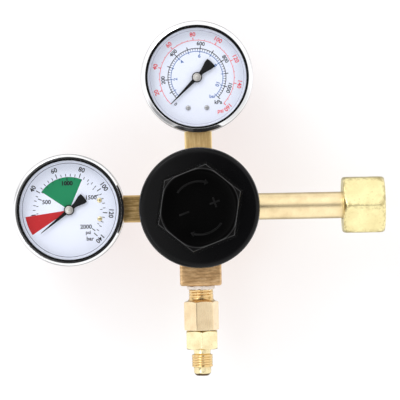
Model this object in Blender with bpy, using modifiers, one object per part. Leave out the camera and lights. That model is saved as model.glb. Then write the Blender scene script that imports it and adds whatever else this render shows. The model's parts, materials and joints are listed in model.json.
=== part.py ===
"""Two-gauge carbon dioxide regulator for a gas cylinder, as an assembly of its separate pieces.

The regulator is held by its inlet: the origin is the centre of the inlet seat, on the outer face of the
inlet washer, with +X out of the inlet towards the cylinder valve. +Z is up, where the outlet gauge stands,
and the adjusting knob faces -Y. Sizes are in millimetres and MM turns them into metres.
"Forward" below is the distance from the plane of the ports towards the knob, which is -Y.
"""

import math

import bmesh
import bpy
from mathutils import Matrix

MM = 0.001
GAP = 0.3  # clearance between pieces that touch

# Driving dimensions
INLET_REACH = 86.0  # bonnet axis to the inlet seat
GAUGE_REACH = 66.8  # bonnet axis to each gauge's centre
PORT_REACH = 25.0  # bonnet axis to the face of the three round ports
BLOCK_REACH = 40.1  # bonnet axis to the foot of the outlet block
BLOCK_HALF = 10.8  # half the width of the square outlet block
RELIEF_DROP = 24.5  # ports down to the relief valve's axis
RELIEF_SEAT = 15.6  # how far behind the ports the relief valve's hexagon starts
PIPE_R = 6.4  # 1/4 inch taper pipe thread, mean radius
PORT_BORE_R = 6.7
PASSAGE_R = 2.2

BODY_R = 21.5
BODY_BACK = -15.0
FLANGE_R = 26.0
FLANGE_LOW = 11.4
RIM = 21.0  # forward position of the rim that the diaphragm lies on
RECESS_R = 20.0
RECESS_FLOOR = 16.0
SEAT_LEVEL = 5.0  # underside of the seat nozzle, where the poppet closes
CHAMBER_FLOOR = -11.0
CHAMBER_R = 6.0

BONNET_R = 30.4
BONNET_LOW = 11.4
BONNET_FACE = 41.0
TURRET_R = 16.0
TURRET_TOP = 55.0
ROOF = 51.0  # inner face of the bonnet's roof
SPRING_BORE_R = 12.8
KNOB_FLATS = 41.0
KNOB_TOP_FLATS = 37.0
KNOB_LOW = 41.6
KNOB_TOP = 60.0
KNOB_FACE_R = 20.1
KNOB_TURN = 50.9  # degrees that the knob's hexagon is turned by at rest

DIAPHRAGM = 1.2
BUTTON_TOP = 25.8
SPRING_NUT_LOW = 44.4
SPRING_NUT = 4.0

NUT_FLATS = 28.6  # 1 1/8 inch
NUT_LENGTH = 21.6
NUT_BACK = INLET_REACH - 12.3
FITTING_FLATS = 15.9  # 5/8 inch

GAUGE_R = 28.7
CASE_R = 27.2
CASE_BACK = -11.0
CASE_FRONT = 11.0
DIAL_LEVEL = 8.6
POINTER_LEVEL = 10.4
GEAR_DISTANCE = 12.0
PINION_TEETH = 12
SECTOR_TEETH = 72  # of a whole gear of the sector's radius
POINTER_REST = {"low": 225.0, "high": 218.7}  # degrees, anticlockwise from +X, seen from the front

# How a piece's own +Z is turned to face each way
FRONT = (math.radians(90), 0, 0)
BACK = (math.radians(-90), 0, 0)
RIGHT = (0, math.radians(90), 0)
LEFT = (0, math.radians(-90), 0)
UP = (0, 0, 0)
DOWN = (math.radians(180), 0, 0)

for old in list(bpy.data.objects):
    bpy.data.objects.remove(old)

parts = bpy.data.collections.new("carbon_dioxide_regulator")
cutters = bpy.data.collections.new("cutters")
bpy.context.scene.collection.children.link(parts)
bpy.context.scene.collection.children.link(cutters)


def material(name, colour, roughness, metallic):
    made = bpy.data.materials.new(name)
    made.use_nodes = True
    shader = made.node_tree.nodes["Principled BSDF"]
    shader.inputs["Base Color"].default_value = (*colour, 1)
    shader.inputs["Roughness"].default_value = roughness
    shader.inputs["Metallic"].default_value = metallic
    return made


FORGED_BRASS = material("forged_brass", (0.50, 0.36, 0.17), 0.45, 1)
BRASS = material("brass", (0.85, 0.66, 0.34), 0.22, 1)
CHROME = material("chrome", (0.80, 0.80, 0.82), 0.08, 1)
STEEL = material("steel", (0.55, 0.55, 0.56), 0.3, 1)
BLACK_PLASTIC = material("black_plastic", (0.012, 0.012, 0.014), 0.42, 0)
BLACK_PAINT = material("black_paint", (0.01, 0.01, 0.012), 0.35, 0)
DIAL_WHITE = material("dial_white", (0.86, 0.88, 0.95), 0.5, 0)
CLEAR = material("clear_lens", (0.95, 0.97, 1.0), 0.03, 0)
RUBBER = material("rubber", (0.02, 0.02, 0.02), 0.7, 0)
NYLON = material("nylon", (0.85, 0.84, 0.78), 0.5, 0)
TAPE = material("thread_tape", (0.93, 0.92, 0.90), 0.6, 0)
BRONZE = material("sintered_bronze", (0.55, 0.38, 0.20), 0.75, 1)


def place(obj, parent, turn=UP, at=(0, 0, 0), skin=None):
    """Puts a piece in its parent's frame. With no material it is a helper that only cuts or joins."""
    (parts if skin else cutters).objects.link(obj)
    obj.parent = parent
    obj.rotation_euler = turn
    obj.location = [x * MM for x in at]
    if skin:
        obj.data.materials.append(skin)
    else:
        obj.hide_render = True
        obj.display_type = "WIRE"
    return obj


def axis(name, parent=None, at=(0, 0, 0), turn=UP):
    """An empty that carries the pieces that sit or move together."""
    made = bpy.data.objects.new(name, None)
    parts.objects.link(made)
    made.parent = parent
    made.location = [x * MM for x in at]
    made.rotation_euler = turn
    return made


def shade(mesh):
    mesh.shade_smooth()
    mesh.set_sharp_from_angle(angle=math.radians(35))


def turned(name, profile, parent, turn=FRONT, at=(0, 0, 0), skin=None, steps=32, ring=False):
    """A turned piece. profile lists (radius, height) down its outer side; a ring's is a closed loop."""
    mesh = bpy.data.meshes.new(name)
    count = len(profile)
    ends = [(i, i + 1) for i in range(count - 1)] + ([(count - 1, 0)] if ring else [])
    mesh.from_pydata([(r * MM, 0, h * MM) for r, h in profile], ends, [])
    obj = place(bpy.data.objects.new(name, mesh), parent, turn, at, skin)
    screw = obj.modifiers.new("turn", "SCREW")
    screw.steps = screw.render_steps = steps
    screw.use_merge_vertices = True
    screw.merge_threshold = 0.01 * MM
    screw.use_smooth_shade = True
    return obj


def tube(name, outer, inner, low, high, parent, **rest):
    loop = [(outer, high), (outer, low), (inner, low), (inner, high)]
    return turned(name, loop, parent, ring=True, **rest)


def rod(name, radius, low, high, parent, turn=FRONT, at=(0, 0, 0), skin=None, sides=24, spin=0.0, top=None):
    """A cylinder or, with six sides, a hexagonal bar of that circumradius. top is its far end's radius."""
    mesh = bpy.data.meshes.new(name)
    shape = bmesh.new()
    radii = {"radius1": radius * MM, "radius2": (top or radius) * MM}
    bmesh.ops.create_cone(shape, cap_ends=True, segments=sides, depth=(high - low) * MM, **radii)
    bmesh.ops.rotate(shape, verts=shape.verts, matrix=Matrix.Rotation(math.radians(spin), 3, "Z"))
    bmesh.ops.translate(shape, verts=shape.verts, vec=(0, 0, (high + low) / 2 * MM))
    shape.to_mesh(mesh)
    shape.free()
    if sides > 8:
        shade(mesh)
    return place(bpy.data.objects.new(name, mesh), parent, turn, at, skin)


def hexagon(name, flats, low, high, parent, **rest):
    return rod(name, flats / math.sqrt(3), low, high, parent, sides=6, **rest)


def block(name, low, high, parent, skin=None):
    mesh = bpy.data.meshes.new(name)
    shape = bmesh.new()
    bmesh.ops.create_cube(shape, size=1)
    bmesh.ops.scale(shape, verts=shape.verts, vec=[(b - a) * MM for a, b in zip(low, high)])
    bmesh.ops.translate(shape, verts=shape.verts, vec=[(a + b) / 2 * MM for a, b in zip(low, high)])
    shape.to_mesh(mesh)
    shape.free()
    return place(bpy.data.objects.new(name, mesh), parent, skin=skin)


def ball_ring(name, radius, wire, parent, turn=UP, at=(0, 0, 0), skin=None, around=24, section=8):
    bpy.ops.mesh.primitive_torus_add(
        major_radius=radius * MM, minor_radius=wire * MM, major_segments=around, minor_segments=section
    )
    made = bpy.context.object
    mesh = made.data
    bpy.data.objects.remove(made)
    mesh.name = name
    shade(mesh)
    return place(bpy.data.objects.new(name, mesh), parent, turn, at, skin)


def circle(radius, at=(0, 0), count=16):
    step = 2 * math.pi / count
    return [(at[0] + radius * math.cos(i * step), at[1] + radius * math.sin(i * step)) for i in range(count)]


def plate(name, loops, low, high, parent, turn=FRONT, at=(0, 0, 0), skin=None):
    """A flat piece: the first loop is its outline and the others are holes, in millimetres."""
    curve = bpy.data.curves.new(name, "CURVE")
    curve.dimensions = "2D"
    curve.fill_mode = "BOTH"
    curve.extrude = (high - low) / 2 * MM
    for loop in loops:
        spline = curve.splines.new("POLY")
        spline.points.add(len(loop) - 1)
        for point, (x, y) in zip(spline.points, loop):
            point.co = (x * MM, y * MM, 0, 1)
        spline.use_cyclic_u = True
    flat = bpy.data.objects.new(name, curve)
    parts.objects.link(flat)
    bpy.context.view_layer.update()
    mesh = bpy.data.meshes.new_from_object(flat.evaluated_get(bpy.context.evaluated_depsgraph_get()))
    bpy.data.objects.remove(flat)
    mesh.name = name
    shape = bmesh.new()
    shape.from_mesh(mesh)
    bmesh.ops.remove_doubles(shape, verts=shape.verts, dist=0.001 * MM)
    bmesh.ops.translate(shape, verts=shape.verts, vec=(0, 0, (high + low) / 2 * MM))
    bmesh.ops.recalc_face_normals(shape, faces=shape.faces)
    shape.to_mesh(mesh)
    shape.free()
    return place(bpy.data.objects.new(name, mesh), parent, turn, at, skin)


def coil(
    name, radius, wire, low, high, turns, parent, turn=FRONT, at=(0, 0, 0), skin=None, per_turn=10, sides=0
):
    """A compression spring with its ends lying flat: the pitch grows and fades over the end turns."""
    curve = bpy.data.curves.new(name, "CURVE")
    curve.dimensions = "3D"
    curve.bevel_depth = wire / 2 * MM
    curve.bevel_resolution = sides
    curve.use_fill_caps = True
    count = int(turns * per_turn)
    spline = curve.splines.new("POLY")
    spline.points.add(count)
    flat = 0.8 / turns
    for i, point in enumerate(spline.points):
        share = i / count
        rise = min(max((share - flat) / (1 - 2 * flat), 0), 1)
        wound = wire * 1.15 * (min(share, flat) + max(share - 1 + flat, 0)) / flat
        height = low + wire / 2 + wound + rise * (high - low - wire * 3.3)
        angle = share * turns * 2 * math.pi
        point.co = (radius * math.cos(angle) * MM, radius * math.sin(angle) * MM, height * MM, 1)
    return place(bpy.data.objects.new(name, curve), parent, turn, at, skin)


def boolean(obj, kind, *others):
    for other in others:
        step = obj.modifiers.new(other.name, "BOOLEAN")
        step.operation = kind
        step.object = other
    return obj


def join(obj, *others):
    return boolean(obj, "UNION", *others)


def cut(obj, *others):
    return boolean(obj, "DIFFERENCE", *others)


# ---------------------------------------------------------------- pressure-reducing body


def build_body(centre):
    profile = [
        (0, CHAMBER_FLOOR),
        (CHAMBER_R, CHAMBER_FLOOR),
        (CHAMBER_R, SEAT_LEVEL),
        (7.5, SEAT_LEVEL),
        (7.5, RECESS_FLOOR),
        (RECESS_R, RECESS_FLOOR),
        (RECESS_R, RIM),
        (FLANGE_R, RIM),
        (FLANGE_R, FLANGE_LOW),
        (BODY_R, FLANGE_LOW - 1),
        (BODY_R, BODY_BACK + 2.5),
        (BODY_R - 2.5, BODY_BACK),
        (0, BODY_BACK),
    ]
    body = turned("regulator_body", profile, centre, skin=FORGED_BRASS, steps=36)
    inside = 15.0
    bore_end = 12.0
    ports = {"top": UP, "left": LEFT, "right": RIGHT}
    for name, turn in ports.items():
        join(body, rod(f"boss_{name}", 10.5, inside, PORT_REACH, centre, turn, sides=24))
    low_corner = (-BLOCK_HALF, -BLOCK_HALF, -BLOCK_REACH)
    join(body, block("outlet_block", low_corner, (BLOCK_HALF, BLOCK_HALF, -16), centre))
    for name, turn in ports.items():
        cut(body, rod(f"bore_{name}", PORT_BORE_R, bore_end, PORT_REACH + 3, centre, turn))
    join(body, rod("relief_boss", 7.4, 6, RELIEF_SEAT - GAP, centre, BACK, (0, 0, -RELIEF_DROP)))
    cut(body, rod("bore_outlet", PORT_BORE_R, 31, BLOCK_REACH + 3, centre, DOWN))
    cut(body, rod("inlet_passage", PASSAGE_R, -bore_end - 1, bore_end + 1, centre, RIGHT, sides=12))
    for side in (1, -1):
        at = (0, 0, 15.5 * side)
        cut(body, rod(f"low_passage_{side}", PASSAGE_R, 0, RECESS_FLOOR + 2, centre, FRONT, at, sides=12))
    cut(body, rod("outlet_passage", PASSAGE_R, 15.5, 32, centre, DOWN, sides=12))
    cut(body, rod("relief_bore", 4.9, 8.5, RELIEF_SEAT + 2, centre, BACK, (0, 0, -RELIEF_DROP), sides=20))
    cut(body, rod("relief_passage", 1.5, 0, 10, centre, BACK, (0, 0, -RELIEF_DROP), sides=10))


def build_valve(centre):
    foot = SEAT_LEVEL + GAP
    nozzle = [(7.2, 12.5), (7.2, foot), (1.6, foot), (1.6, 14.5), (4.4, 14.5), (4.4, 12.5)]
    turned("seat_nozzle", nozzle, centre, skin=BRASS, steps=24, ring=True)
    valve = axis("poppet_slide", centre)
    seat = SEAT_LEVEL
    stem = [(0, 19.2), (0.9, 19.2), (0.9, seat), (4.6, seat), (4.6, 0.5), (1.6, 0.5), (1.6, -2.5), (0, -2.5)]
    turned("poppet", stem, valve, skin=BRASS, steps=16)
    coil("poppet_spring", 3.1, 0.7, CHAMBER_FLOOR + GAP, 0.2, 5, centre, skin=STEEL)


def build_diaphragm(centre):
    stud = 2.6
    low = RIM + GAP
    high = low + DIAPHRAGM
    tube("diaphragm", 25.0, stud + GAP, low, high, centre, skin=RUBBER, steps=40)
    moving = axis("diaphragm_slide", centre)
    pusher = [(0, 27.5), (stud, 27.5), (stud, 21.0), (9, 21.0), (9, 19.6), (0, 19.6)]
    turned("diaphragm_pusher", pusher, moving, skin=BRASS, steps=24)
    button = [(7.5, BUTTON_TOP + 2), (7.5, BUTTON_TOP), (12.2, BUTTON_TOP), (12.2, high + GAP)]
    button += [(stud + GAP, high + GAP), (stud + GAP, BUTTON_TOP + 2)]
    turned("lower_spring_button", button, moving, skin=STEEL, steps=28, ring=True)
    tube("slip_ring", 24.8, 20.0, high + GAP, high + GAP + 0.8, centre, skin=NYLON, steps=40)


def build_bonnet(centre):
    clamp = RIM + 2 * GAP + DIAPHRAGM + 0.8 + GAP
    fillet = 3.0
    rounded = []
    for step in range(4):
        angle = math.radians(90 - step * 30)
        out, forward = fillet * math.cos(angle), fillet * math.sin(angle)
        rounded.append((BONNET_R - fillet + out, BONNET_FACE - fillet + forward))
    profile = [(4.6, TURRET_TOP), (TURRET_R, TURRET_TOP), (TURRET_R, BONNET_FACE), *rounded]
    profile += [(BONNET_R, BONNET_LOW), (FLANGE_R + GAP, BONNET_LOW), (FLANGE_R + GAP, clamp), (19.5, clamp)]
    profile += [(22, clamp + 2.5), (22, 35), (SPRING_BORE_R, 37), (SPRING_BORE_R, ROOF), (4.6, ROOF)]
    bonnet = turned("bonnet", profile, centre, skin=BLACK_PLASTIC, steps=44, ring=True)
    for side in (1, -1):
        reach = sorted((side * 11.6, side * 14.5))
        rib = block(f"bonnet_rib_{side}", (reach[0], -(ROOF + 1), -1.2), (reach[1], -36, 1.2), centre)
        join(bonnet, rib)


def build_adjuster(centre):
    turning = axis("knob_axis", centre)
    screw = [(0, 58.5), (3.8, 58.5), (3.8, 56), (4.3, 56), (4.3, 50.7), (7, 50.7), (7, 48.7)]
    screw += [(4, 48.7), (4, 29), (0, 29)]
    turned("adjusting_screw", screw, turning, skin=STEEL, steps=20)
    foot = KNOB_FLATS / math.sqrt(3)
    face = KNOB_TOP_FLATS / math.sqrt(3)
    shape = {"sides": 6, "spin": KNOB_TURN, "top": face}
    knob = rod("adjusting_knob", foot, KNOB_LOW, KNOB_TOP, turning, skin=BLACK_PLASTIC, **shape)
    # The corners are chamfered by a steep cone that leaves the face round.
    crown = [(0, KNOB_TOP), (KNOB_FACE_R, KNOB_TOP), (KNOB_FACE_R + 3, KNOB_TOP - 12)]
    crown += [(foot + 1, KNOB_TOP - 13), (foot + 1, KNOB_LOW - 1), (0, KNOB_LOW - 1)]
    boolean(knob, "INTERSECT", turned("knob_crown", crown, turning, steps=48))
    cut(knob, rod("knob_hollow", 16.6, KNOB_LOW - 2, 56.5, turning, sides=40))
    cut(knob, rod("knob_socket", 4.1, 54, 58.8, turning, sides=20))

    nut = axis("spring_nut_slide", centre)
    high = SPRING_NUT_LOW + SPRING_NUT
    plate_nut = tube("spring_nut", 12.3, 4.3, SPRING_NUT_LOW, high, nut, skin=BRASS, steps=28)
    for side in (1, -1):
        reach = sorted((side * 11.2, side * 14))
        near, far = (reach[0], -(high + 1), -1.6), (reach[1], -(SPRING_NUT_LOW - 1), 1.6)
        cut(plate_nut, block(f"nut_notch_{side}", near, far, nut))
    low, high = BUTTON_TOP + GAP, SPRING_NUT_LOW - GAP
    coil("adjusting_spring", 10.1, 2.6, low, high, 4.5, centre, skin=STEEL, per_turn=12, sides=1)


# ---------------------------------------------------------------- inlet


def build_inlet(centre):
    flange = INLET_REACH - 2.1
    nipple = [(9.2, flange), (9.2, flange - 5), (6.85, flange - 5), (6.85, PORT_REACH + 2.5)]
    nipple += [(PIPE_R, PORT_REACH + 2), (PIPE_R, 12.6), (2.9, 12.6), (2.9, flange)]
    turned("inlet_nipple", nipple, centre, RIGHT, skin=BRASS, steps=32, ring=True)
    rod("inlet_filter", 2.6, 62, 74, centre, RIGHT, skin=BRONZE, sides=12)
    tube("inlet_washer", 9.1, 3.4, flange + GAP, INLET_REACH, centre, turn=RIGHT, skin=NYLON, steps=24)

    spinning = axis("inlet_nut_axis", centre)
    front = NUT_BACK + NUT_LENGTH
    nut = hexagon("inlet_nut", NUT_FLATS, NUT_BACK, front, spinning, turn=RIGHT, skin=BRASS)
    corner = NUT_FLATS / math.sqrt(3)
    crown = [
        (0, front),
        (corner - 2.4, front),
        (corner + 0.6, front - 1.8),
        (corner + 0.6, NUT_BACK + 1.8),
        (corner - 2.4, NUT_BACK),
        (0, NUT_BACK),
    ]
    boolean(nut, "INTERSECT", turned("nut_crown", crown, spinning, RIGHT, steps=36))
    cut(nut, rod("nut_socket", 10.2, NUT_BACK + 4.9, front + 2, spinning, RIGHT, sides=32))
    cut(nut, rod("nut_bore", 7.3, NUT_BACK - 2, front, spinning, RIGHT, sides=32))


# ---------------------------------------------------------------- outlet with its check valve


def build_outlet(centre):
    thread_top = 31.5
    shoulder = 48.4
    joint = 63.2
    tape_top = BLOCK_REACH + GAP
    tube("outlet_thread_tape", 7.1, 6.7, tape_top, BLOCK_REACH + 2.0, centre, turn=DOWN, skin=TAPE, steps=24)
    stem = [(0, joint - 1), (PIPE_R, joint - 1), (PIPE_R, thread_top), (0, thread_top)]
    # Heights grow downwards here, so each profile starts at its lowest point.
    bar = {"turn": DOWN, "skin": BRASS, "spin": 12}
    valve = hexagon("check_valve_body", FITTING_FLATS, shoulder, joint, centre, **bar)
    join(valve, turned("check_stem", stem, centre, DOWN, steps=24))
    cut(valve, rod("check_inlet", 2.3, thread_top - 2, 56, centre, DOWN, sides=12))
    cut(valve, rod("check_chamber", 4.5, 50, joint + 2, centre, DOWN, sides=20))
    cut(valve, rod("check_thread", 5.4, 58.6, joint + 2, centre, DOWN, sides=20))

    hex_low = 73.1
    nose = 86.7
    fitting = hexagon("outlet_fitting", FITTING_FLATS, joint + GAP, hex_low, centre, turn=DOWN, skin=BRASS)
    flare = [(0, nose), (3.1, nose), (4.5, nose - 1.6), (4.5, 82.1), (5.4, 81.6), (5.4, 75.8), (4.3, 75.4)]
    flare += [(4.3, 70), (0, 70)]
    join(fitting, turned("flare_end", flare, centre, DOWN, steps=28))
    join(fitting, rod("fitting_thread", 5.1, 59, 66, centre, DOWN, sides=24))
    cut(fitting, rod("fitting_bore", 2.3, 57, nose + 2, centre, DOWN, sides=14))

    moving = axis("check_poppet_slide", centre)
    poppet = [(0, 62), (1.1, 62), (1.1, 54.6), (3.9, 54.6), (3.9, 53), (1.9, 52.2), (1.9, 50.4), (0, 50.4)]
    turned("check_poppet", poppet, moving, DOWN, skin=BRASS, steps=16)
    ball_ring("check_seal", 2.95, 0.7, moving, DOWN, (0, 0, -51.3), skin=RUBBER, around=20, section=6)
    coil("check_spring", 2.6, 0.5, 54.8, 58.8, 3, centre, DOWN, skin=STEEL)


# ---------------------------------------------------------------- relief valve behind the outlet block


def build_relief(centre):
    level = (0, 0, -RELIEF_DROP)
    seat = RELIEF_SEAT
    shell = hexagon("relief_valve_body", 11.1, seat, seat + 5.5, centre, turn=BACK, at=level, skin=BRASS)
    barrel = [(0, seat + 14.7), (4.4, seat + 14.7), (4.6, seat + 14.3), (4.6, 8.8), (0, 8.8)]
    join(shell, turned("relief_barrel", barrel, centre, BACK, level, steps=20))
    cut(shell, rod("relief_orifice", 1.5, 7, 16, centre, BACK, level, sides=10))
    cut(shell, rod("relief_chamber", 3.2, 13, 33, centre, BACK, level, sides=16))
    for name, turn in (("vent_across", RIGHT), ("vent_down", UP)):
        cut(shell, rod(name, 0.9, -8, 8, centre, turn, (0, seat + 8, level[2]), sides=8))

    moving = axis("relief_poppet_slide", centre, level)
    eye = seat + 17.4
    stem = [(0, eye + 1.7), (1.6, eye + 1.7), (1.6, eye - 1.7), (0.8, eye - 1.7)]
    stem += [(0.8, 15.0), (2.9, 15.0), (2.9, 13.3), (0, 13.3)]
    poppet = turned("relief_poppet", stem, moving, BACK, skin=BRASS, steps=12)
    cut(poppet, rod("relief_eye", 0.95, -4, 4, moving, RIGHT, (0, eye, 0), sides=10))
    ball_ring("relief_pull_ring", 4.6, 0.45, moving, FRONT, (0, eye, -4.6), skin=STEEL, around=24, section=6)
    coil("relief_spring", 2.2, 0.5, 15.3, seat + 10.7, 5, centre, BACK, level, skin=STEEL, per_turn=8)
    tube("relief_cap", 2.95, 1.1, seat + 11, seat + 14.3, centre, turn=BACK, at=level, skin=BRASS, steps=16)


# ---------------------------------------------------------------- gauges


def involute(angle):
    return math.tan(angle) - angle


def tooth(teeth, module, centre_angle, backlash):
    """One tooth's points as (radius, angle), from its clockwise root to its anticlockwise root."""
    pressure = math.radians(25)
    pitch = teeth * module / 2
    base = pitch * math.cos(pressure)
    root = pitch - 1.1 * module
    tip = pitch + 0.8 * module
    half = math.pi / (2 * teeth) - backlash / (2 * pitch) + involute(pressure)
    flank = []
    for r in (max(root, base), pitch, tip):
        flank.append((r, half - involute(math.acos(min(base / r, 1)))))
    if root < base:
        flank.insert(0, (root, flank[0][1]))
    rising = [(r, centre_angle - a) for r, a in flank]
    falling = [(r, centre_angle + a) for r, a in reversed(flank)]
    return rising + falling


def polar(points, at=(0, 0)):
    return [(at[0] + r * math.cos(a), at[1] + r * math.sin(a)) for r, a in points]


def arc(radius, start, end, count, at=(0, 0)):
    """Points on an arc between two angles in degrees."""
    angles = [math.radians(start + (end - start) * i / (count - 1)) for i in range(count)]
    return polar([(radius, a) for a in angles], at)


def eye_bar(length, half_width, hole):
    """A bar from (0, 0) along +X with a round eye and a hole at each end."""
    outline = arc(half_width, 90, 270, 7) + arc(half_width, -90, 90, 7, (length, 0))
    return [outline, circle(hole, count=8), circle(hole, (length, 0), 8)]


def spiral(inner, outer, turns, width, per_turn=14):
    """The outline of a spiral strip."""
    count = int(turns * per_turn)
    line = [(inner + (outer - inner) * i / count, 2 * math.pi * turns * i / count) for i in range(count + 1)]
    there = [(r + width / 2, a) for r, a in line]
    back = [(r - width / 2, a) for r, a in reversed(line)]
    return polar(there + back)


def build_case(gauge, side):
    wall = 1.0
    cup = [
        (0, CASE_BACK + wall),
        (CASE_R - wall, CASE_BACK + wall),
        (CASE_R - wall, CASE_FRONT),
        (CASE_R, CASE_FRONT),
        (CASE_R, CASE_BACK + 1.5),
        (CASE_R - 1.5, CASE_BACK),
        (0, CASE_BACK),
    ]
    case = turned(f"{side}_gauge_case", cup, gauge, skin=CHROME, steps=36)
    cut(case, block(f"{side}_case_slot", (-6.7, -6.7, -32), (6.7, 6.7, -20), gauge))
    lip = [(26.2, 17), (28.1, 17), (GAUGE_R, 16.2), (GAUGE_R, 8.0), (27.5, 8.0), (27.5, 15.5), (26.2, 15.5)]
    turned(f"{side}_bezel", lip, gauge, skin=CHROME, steps=44, ring=True)
    tube(f"{side}_lens_gasket", 27.1, 25.4, CASE_FRONT + GAP, 12.8, gauge, skin=RUBBER, steps=40)
    rod(f"{side}_lens", 27.1, 13.1, 15.2, gauge, skin=CLEAR, sides=48)
    screws = [(16.3 * math.cos(math.radians(a)), 16.3 * math.sin(math.radians(a))) for a in (-107, -73)]
    holes = [circle(2.0, count=12)] + [circle(0.9, at, 8) for at in screws]
    disc = [circle(25.9, count=56), *holes]
    plate(f"{side}_dial", disc, DIAL_LEVEL, DIAL_LEVEL + 0.5, gauge, skin=DIAL_WHITE)
    for name, (x, z) in zip(("left", "right"), screws):
        head = DIAL_LEVEL + 0.5 + GAP
        pan = [(0, head + 0.7), (0.9, head + 0.7), (1.3, head + 0.3), (1.3, head)]
        pan += [(0.6, head), (0.6, 7.2), (0, 7.2)]
        turned(f"{side}_dial_screw_{name}", pan, gauge, FRONT, (x, 0, z), skin=BRASS, steps=10)


def build_socket(gauge, side):
    flats = -38.2
    thread_end = -(GAUGE_REACH - 12.6)
    socket = block(f"{side}_gauge_socket", (-7, -7, flats), (7, 7, -27.6), gauge, skin=FORGED_BRASS)
    join(socket, rod(f"{side}_socket_thread", PIPE_R, 36, -thread_end, gauge, DOWN, sides=24))
    join(socket, block(f"{side}_socket_neck", (-6.3, -6.3, -30), (6.3, 6.3, -18.4), gauge))
    join(socket, block(f"{side}_socket_pad", (-6.3, -8.2, -25), (6.3, -5.5, -13.6), gauge))
    join(socket, block(f"{side}_socket_ledge", (-6.3, 4.9, -24), (3, 6.3, -12), gauge))
    for name, angle in (("left", -107), ("right", -73)):
        x, z = 16.3 * math.cos(math.radians(angle)), 16.3 * math.sin(math.radians(angle))
        cut(socket, rod(f"{side}_tap_{name}", 0.8, 6.6, 9, gauge, FRONT, (x, 0, z), sides=8))
    cut(socket, rod(f"{side}_socket_bore", 2.0, 22, -thread_end + 2, gauge, DOWN, sides=12))


def build_movement(gauge, side):
    pivot = (0, -GEAR_DISTANCE)
    module = 2 * GEAR_DISTANCE / (PINION_TEETH + SECTOR_TEETH)
    backlash = 0.05

    strip = arc(19.0, 252, -15, 25) + arc(17.0, -15, 252, 25)
    tip_pin = (16.2, -6.6)
    bourdon = plate(f"{side}_bourdon_tube", [strip], -3.4, 3.4, gauge, skin=BRASS)
    lug = [(17.9, -3.8), (18.6, -4.4), (17.4, -7.4), (15.6, -7.8), (15.2, -6.2), (17.1, -4.0)]
    join(bourdon, plate(f"{side}_tip_lug", [lug], 0, 0.9, gauge))
    join(bourdon, rod(f"{side}_tip_pin", 0.45, 0.4, 2.0, gauge, FRONT, (tip_pin[0], 0, tip_pin[1]), sides=8))

    columns = [(-7.2, -13.2), (5.6, 3.4)]
    outline = [(-8.6, -16.6), (1.6, -16.6), (2.4, -10), (3, -3), (7.6, 1.5), (7.6, 5.4)]
    outline += [(-2.5, 5.4), (-3.5, -5), (-9, -11)]
    bores = [circle(0.8, count=8), circle(0.8, pivot, 8)]
    frame = plate(f"{side}_movement_frame", [outline, *bores], -4.6, -3.8, gauge, skin=BRASS)
    join(frame, plate(f"{side}_front_plate", [outline, *bores], 3.9, 4.7, gauge))
    for index, (x, z) in enumerate(columns):
        join(frame, rod(f"{side}_column_{index}", 1.1, -4.2, 4.3, gauge, FRONT, (x, 0, z), sides=8))

    turning = axis(f"{side}_pointer_axis", gauge)
    pinion = []
    for i in range(PINION_TEETH):
        pinion += tooth(PINION_TEETH, module, math.radians(-90) + i * 2 * math.pi / PINION_TEETH, backlash)
    arbor = plate(f"{side}_pointer_arbor", [polar(pinion)], -0.3, 1.2, turning, skin=STEEL)
    join(arbor, rod(f"{side}_arbor_shaft", 0.6, -4.5, 11.3, turning, sides=10))
    plate(f"{side}_hairspring", [spiral(1.5, 4.6, 3, 0.3)], 2.3, 3.1, gauge, skin=BRONZE)

    pitch_step = 2 * math.pi / SECTOR_TEETH
    rim = []
    for i in range(12):
        rim += tooth(SECTOR_TEETH, module, math.radians(90) + pitch_step * (i - 10.5), backlash)
    # The rim runs from the lower angle to the higher; the web returns round the hub and out along the tail.
    web = [(8.2, 94), (1.9, 130), (1.6, 200), (1.6, 260)]
    tail = [(6.0, 307), (6.2, 316), (6.0, 323), (1.8, 350)]
    swing = axis(f"{side}_sector_axis", gauge, (pivot[0], 0, pivot[1]))
    edge = [(8.2, 42)]
    rest = [(r, math.radians(angle)) for r, angle in web + tail + edge]
    sector = plate(f"{side}_sector_gear", [polar(rim + rest)], 0, 0.9, swing, skin=BRASS)
    join(sector, rod(f"{side}_sector_arbor", 0.6, -4.5, 4.6, swing, sides=10))
    tail_at = (5 * math.cos(math.radians(-45)), 5 * math.sin(math.radians(-45)))
    join(sector, rod(f"{side}_tail_pin", 0.45, 0.4, 2.0, swing, FRONT, (tail_at[0], 0, tail_at[1]), sides=8))

    pin = (pivot[0] + tail_at[0], pivot[1] + tail_at[1])
    reach = (tip_pin[0] - pin[0], tip_pin[1] - pin[1])
    lean = math.atan2(reach[1], reach[0])
    hinge = axis(f"{side}_link_axis", gauge, (pin[0], 0, pin[1]), (0, -lean, 0))
    plate(f"{side}_link", eye_bar(math.hypot(*reach), 1.1, 0.65), 1.2, 1.7, hinge, skin=BRASS)


def build_pointer(gauge, side):
    """The needle and its flared tail, along +X of an axis that is turned to the rest direction."""
    stem_turn = gauge.rotation_euler[1]
    direction = math.radians(POINTER_REST[side])
    turning = axis(f"{side}_needle_axis", gauge, turn=(0, -direction - stem_turn, 0))
    tip = 19.3
    flare = arc(10.9, 180 + 15, 180 - 15, 5)
    outline = [(tip, 0.15), *arc(2.4, 22, 158, 5), *reversed(flare), *arc(2.4, 202, 338, 5), (tip, -0.15)]
    top = POINTER_LEVEL + 0.4
    needle = plate(f"{side}_pointer", [outline], POINTER_LEVEL, top, turning, skin=BLACK_PAINT)
    boss = [(0, 12.2), (1.9, 12.2), (2.3, 11.8), (2.3, 9.7), (0, 9.7)]
    join(needle, turned(f"{side}_pointer_boss", boss, turning, steps=20))
    cut(needle, rod(f"{side}_pointer_bore", 0.75, 8, 11.5, turning, sides=10))


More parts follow.
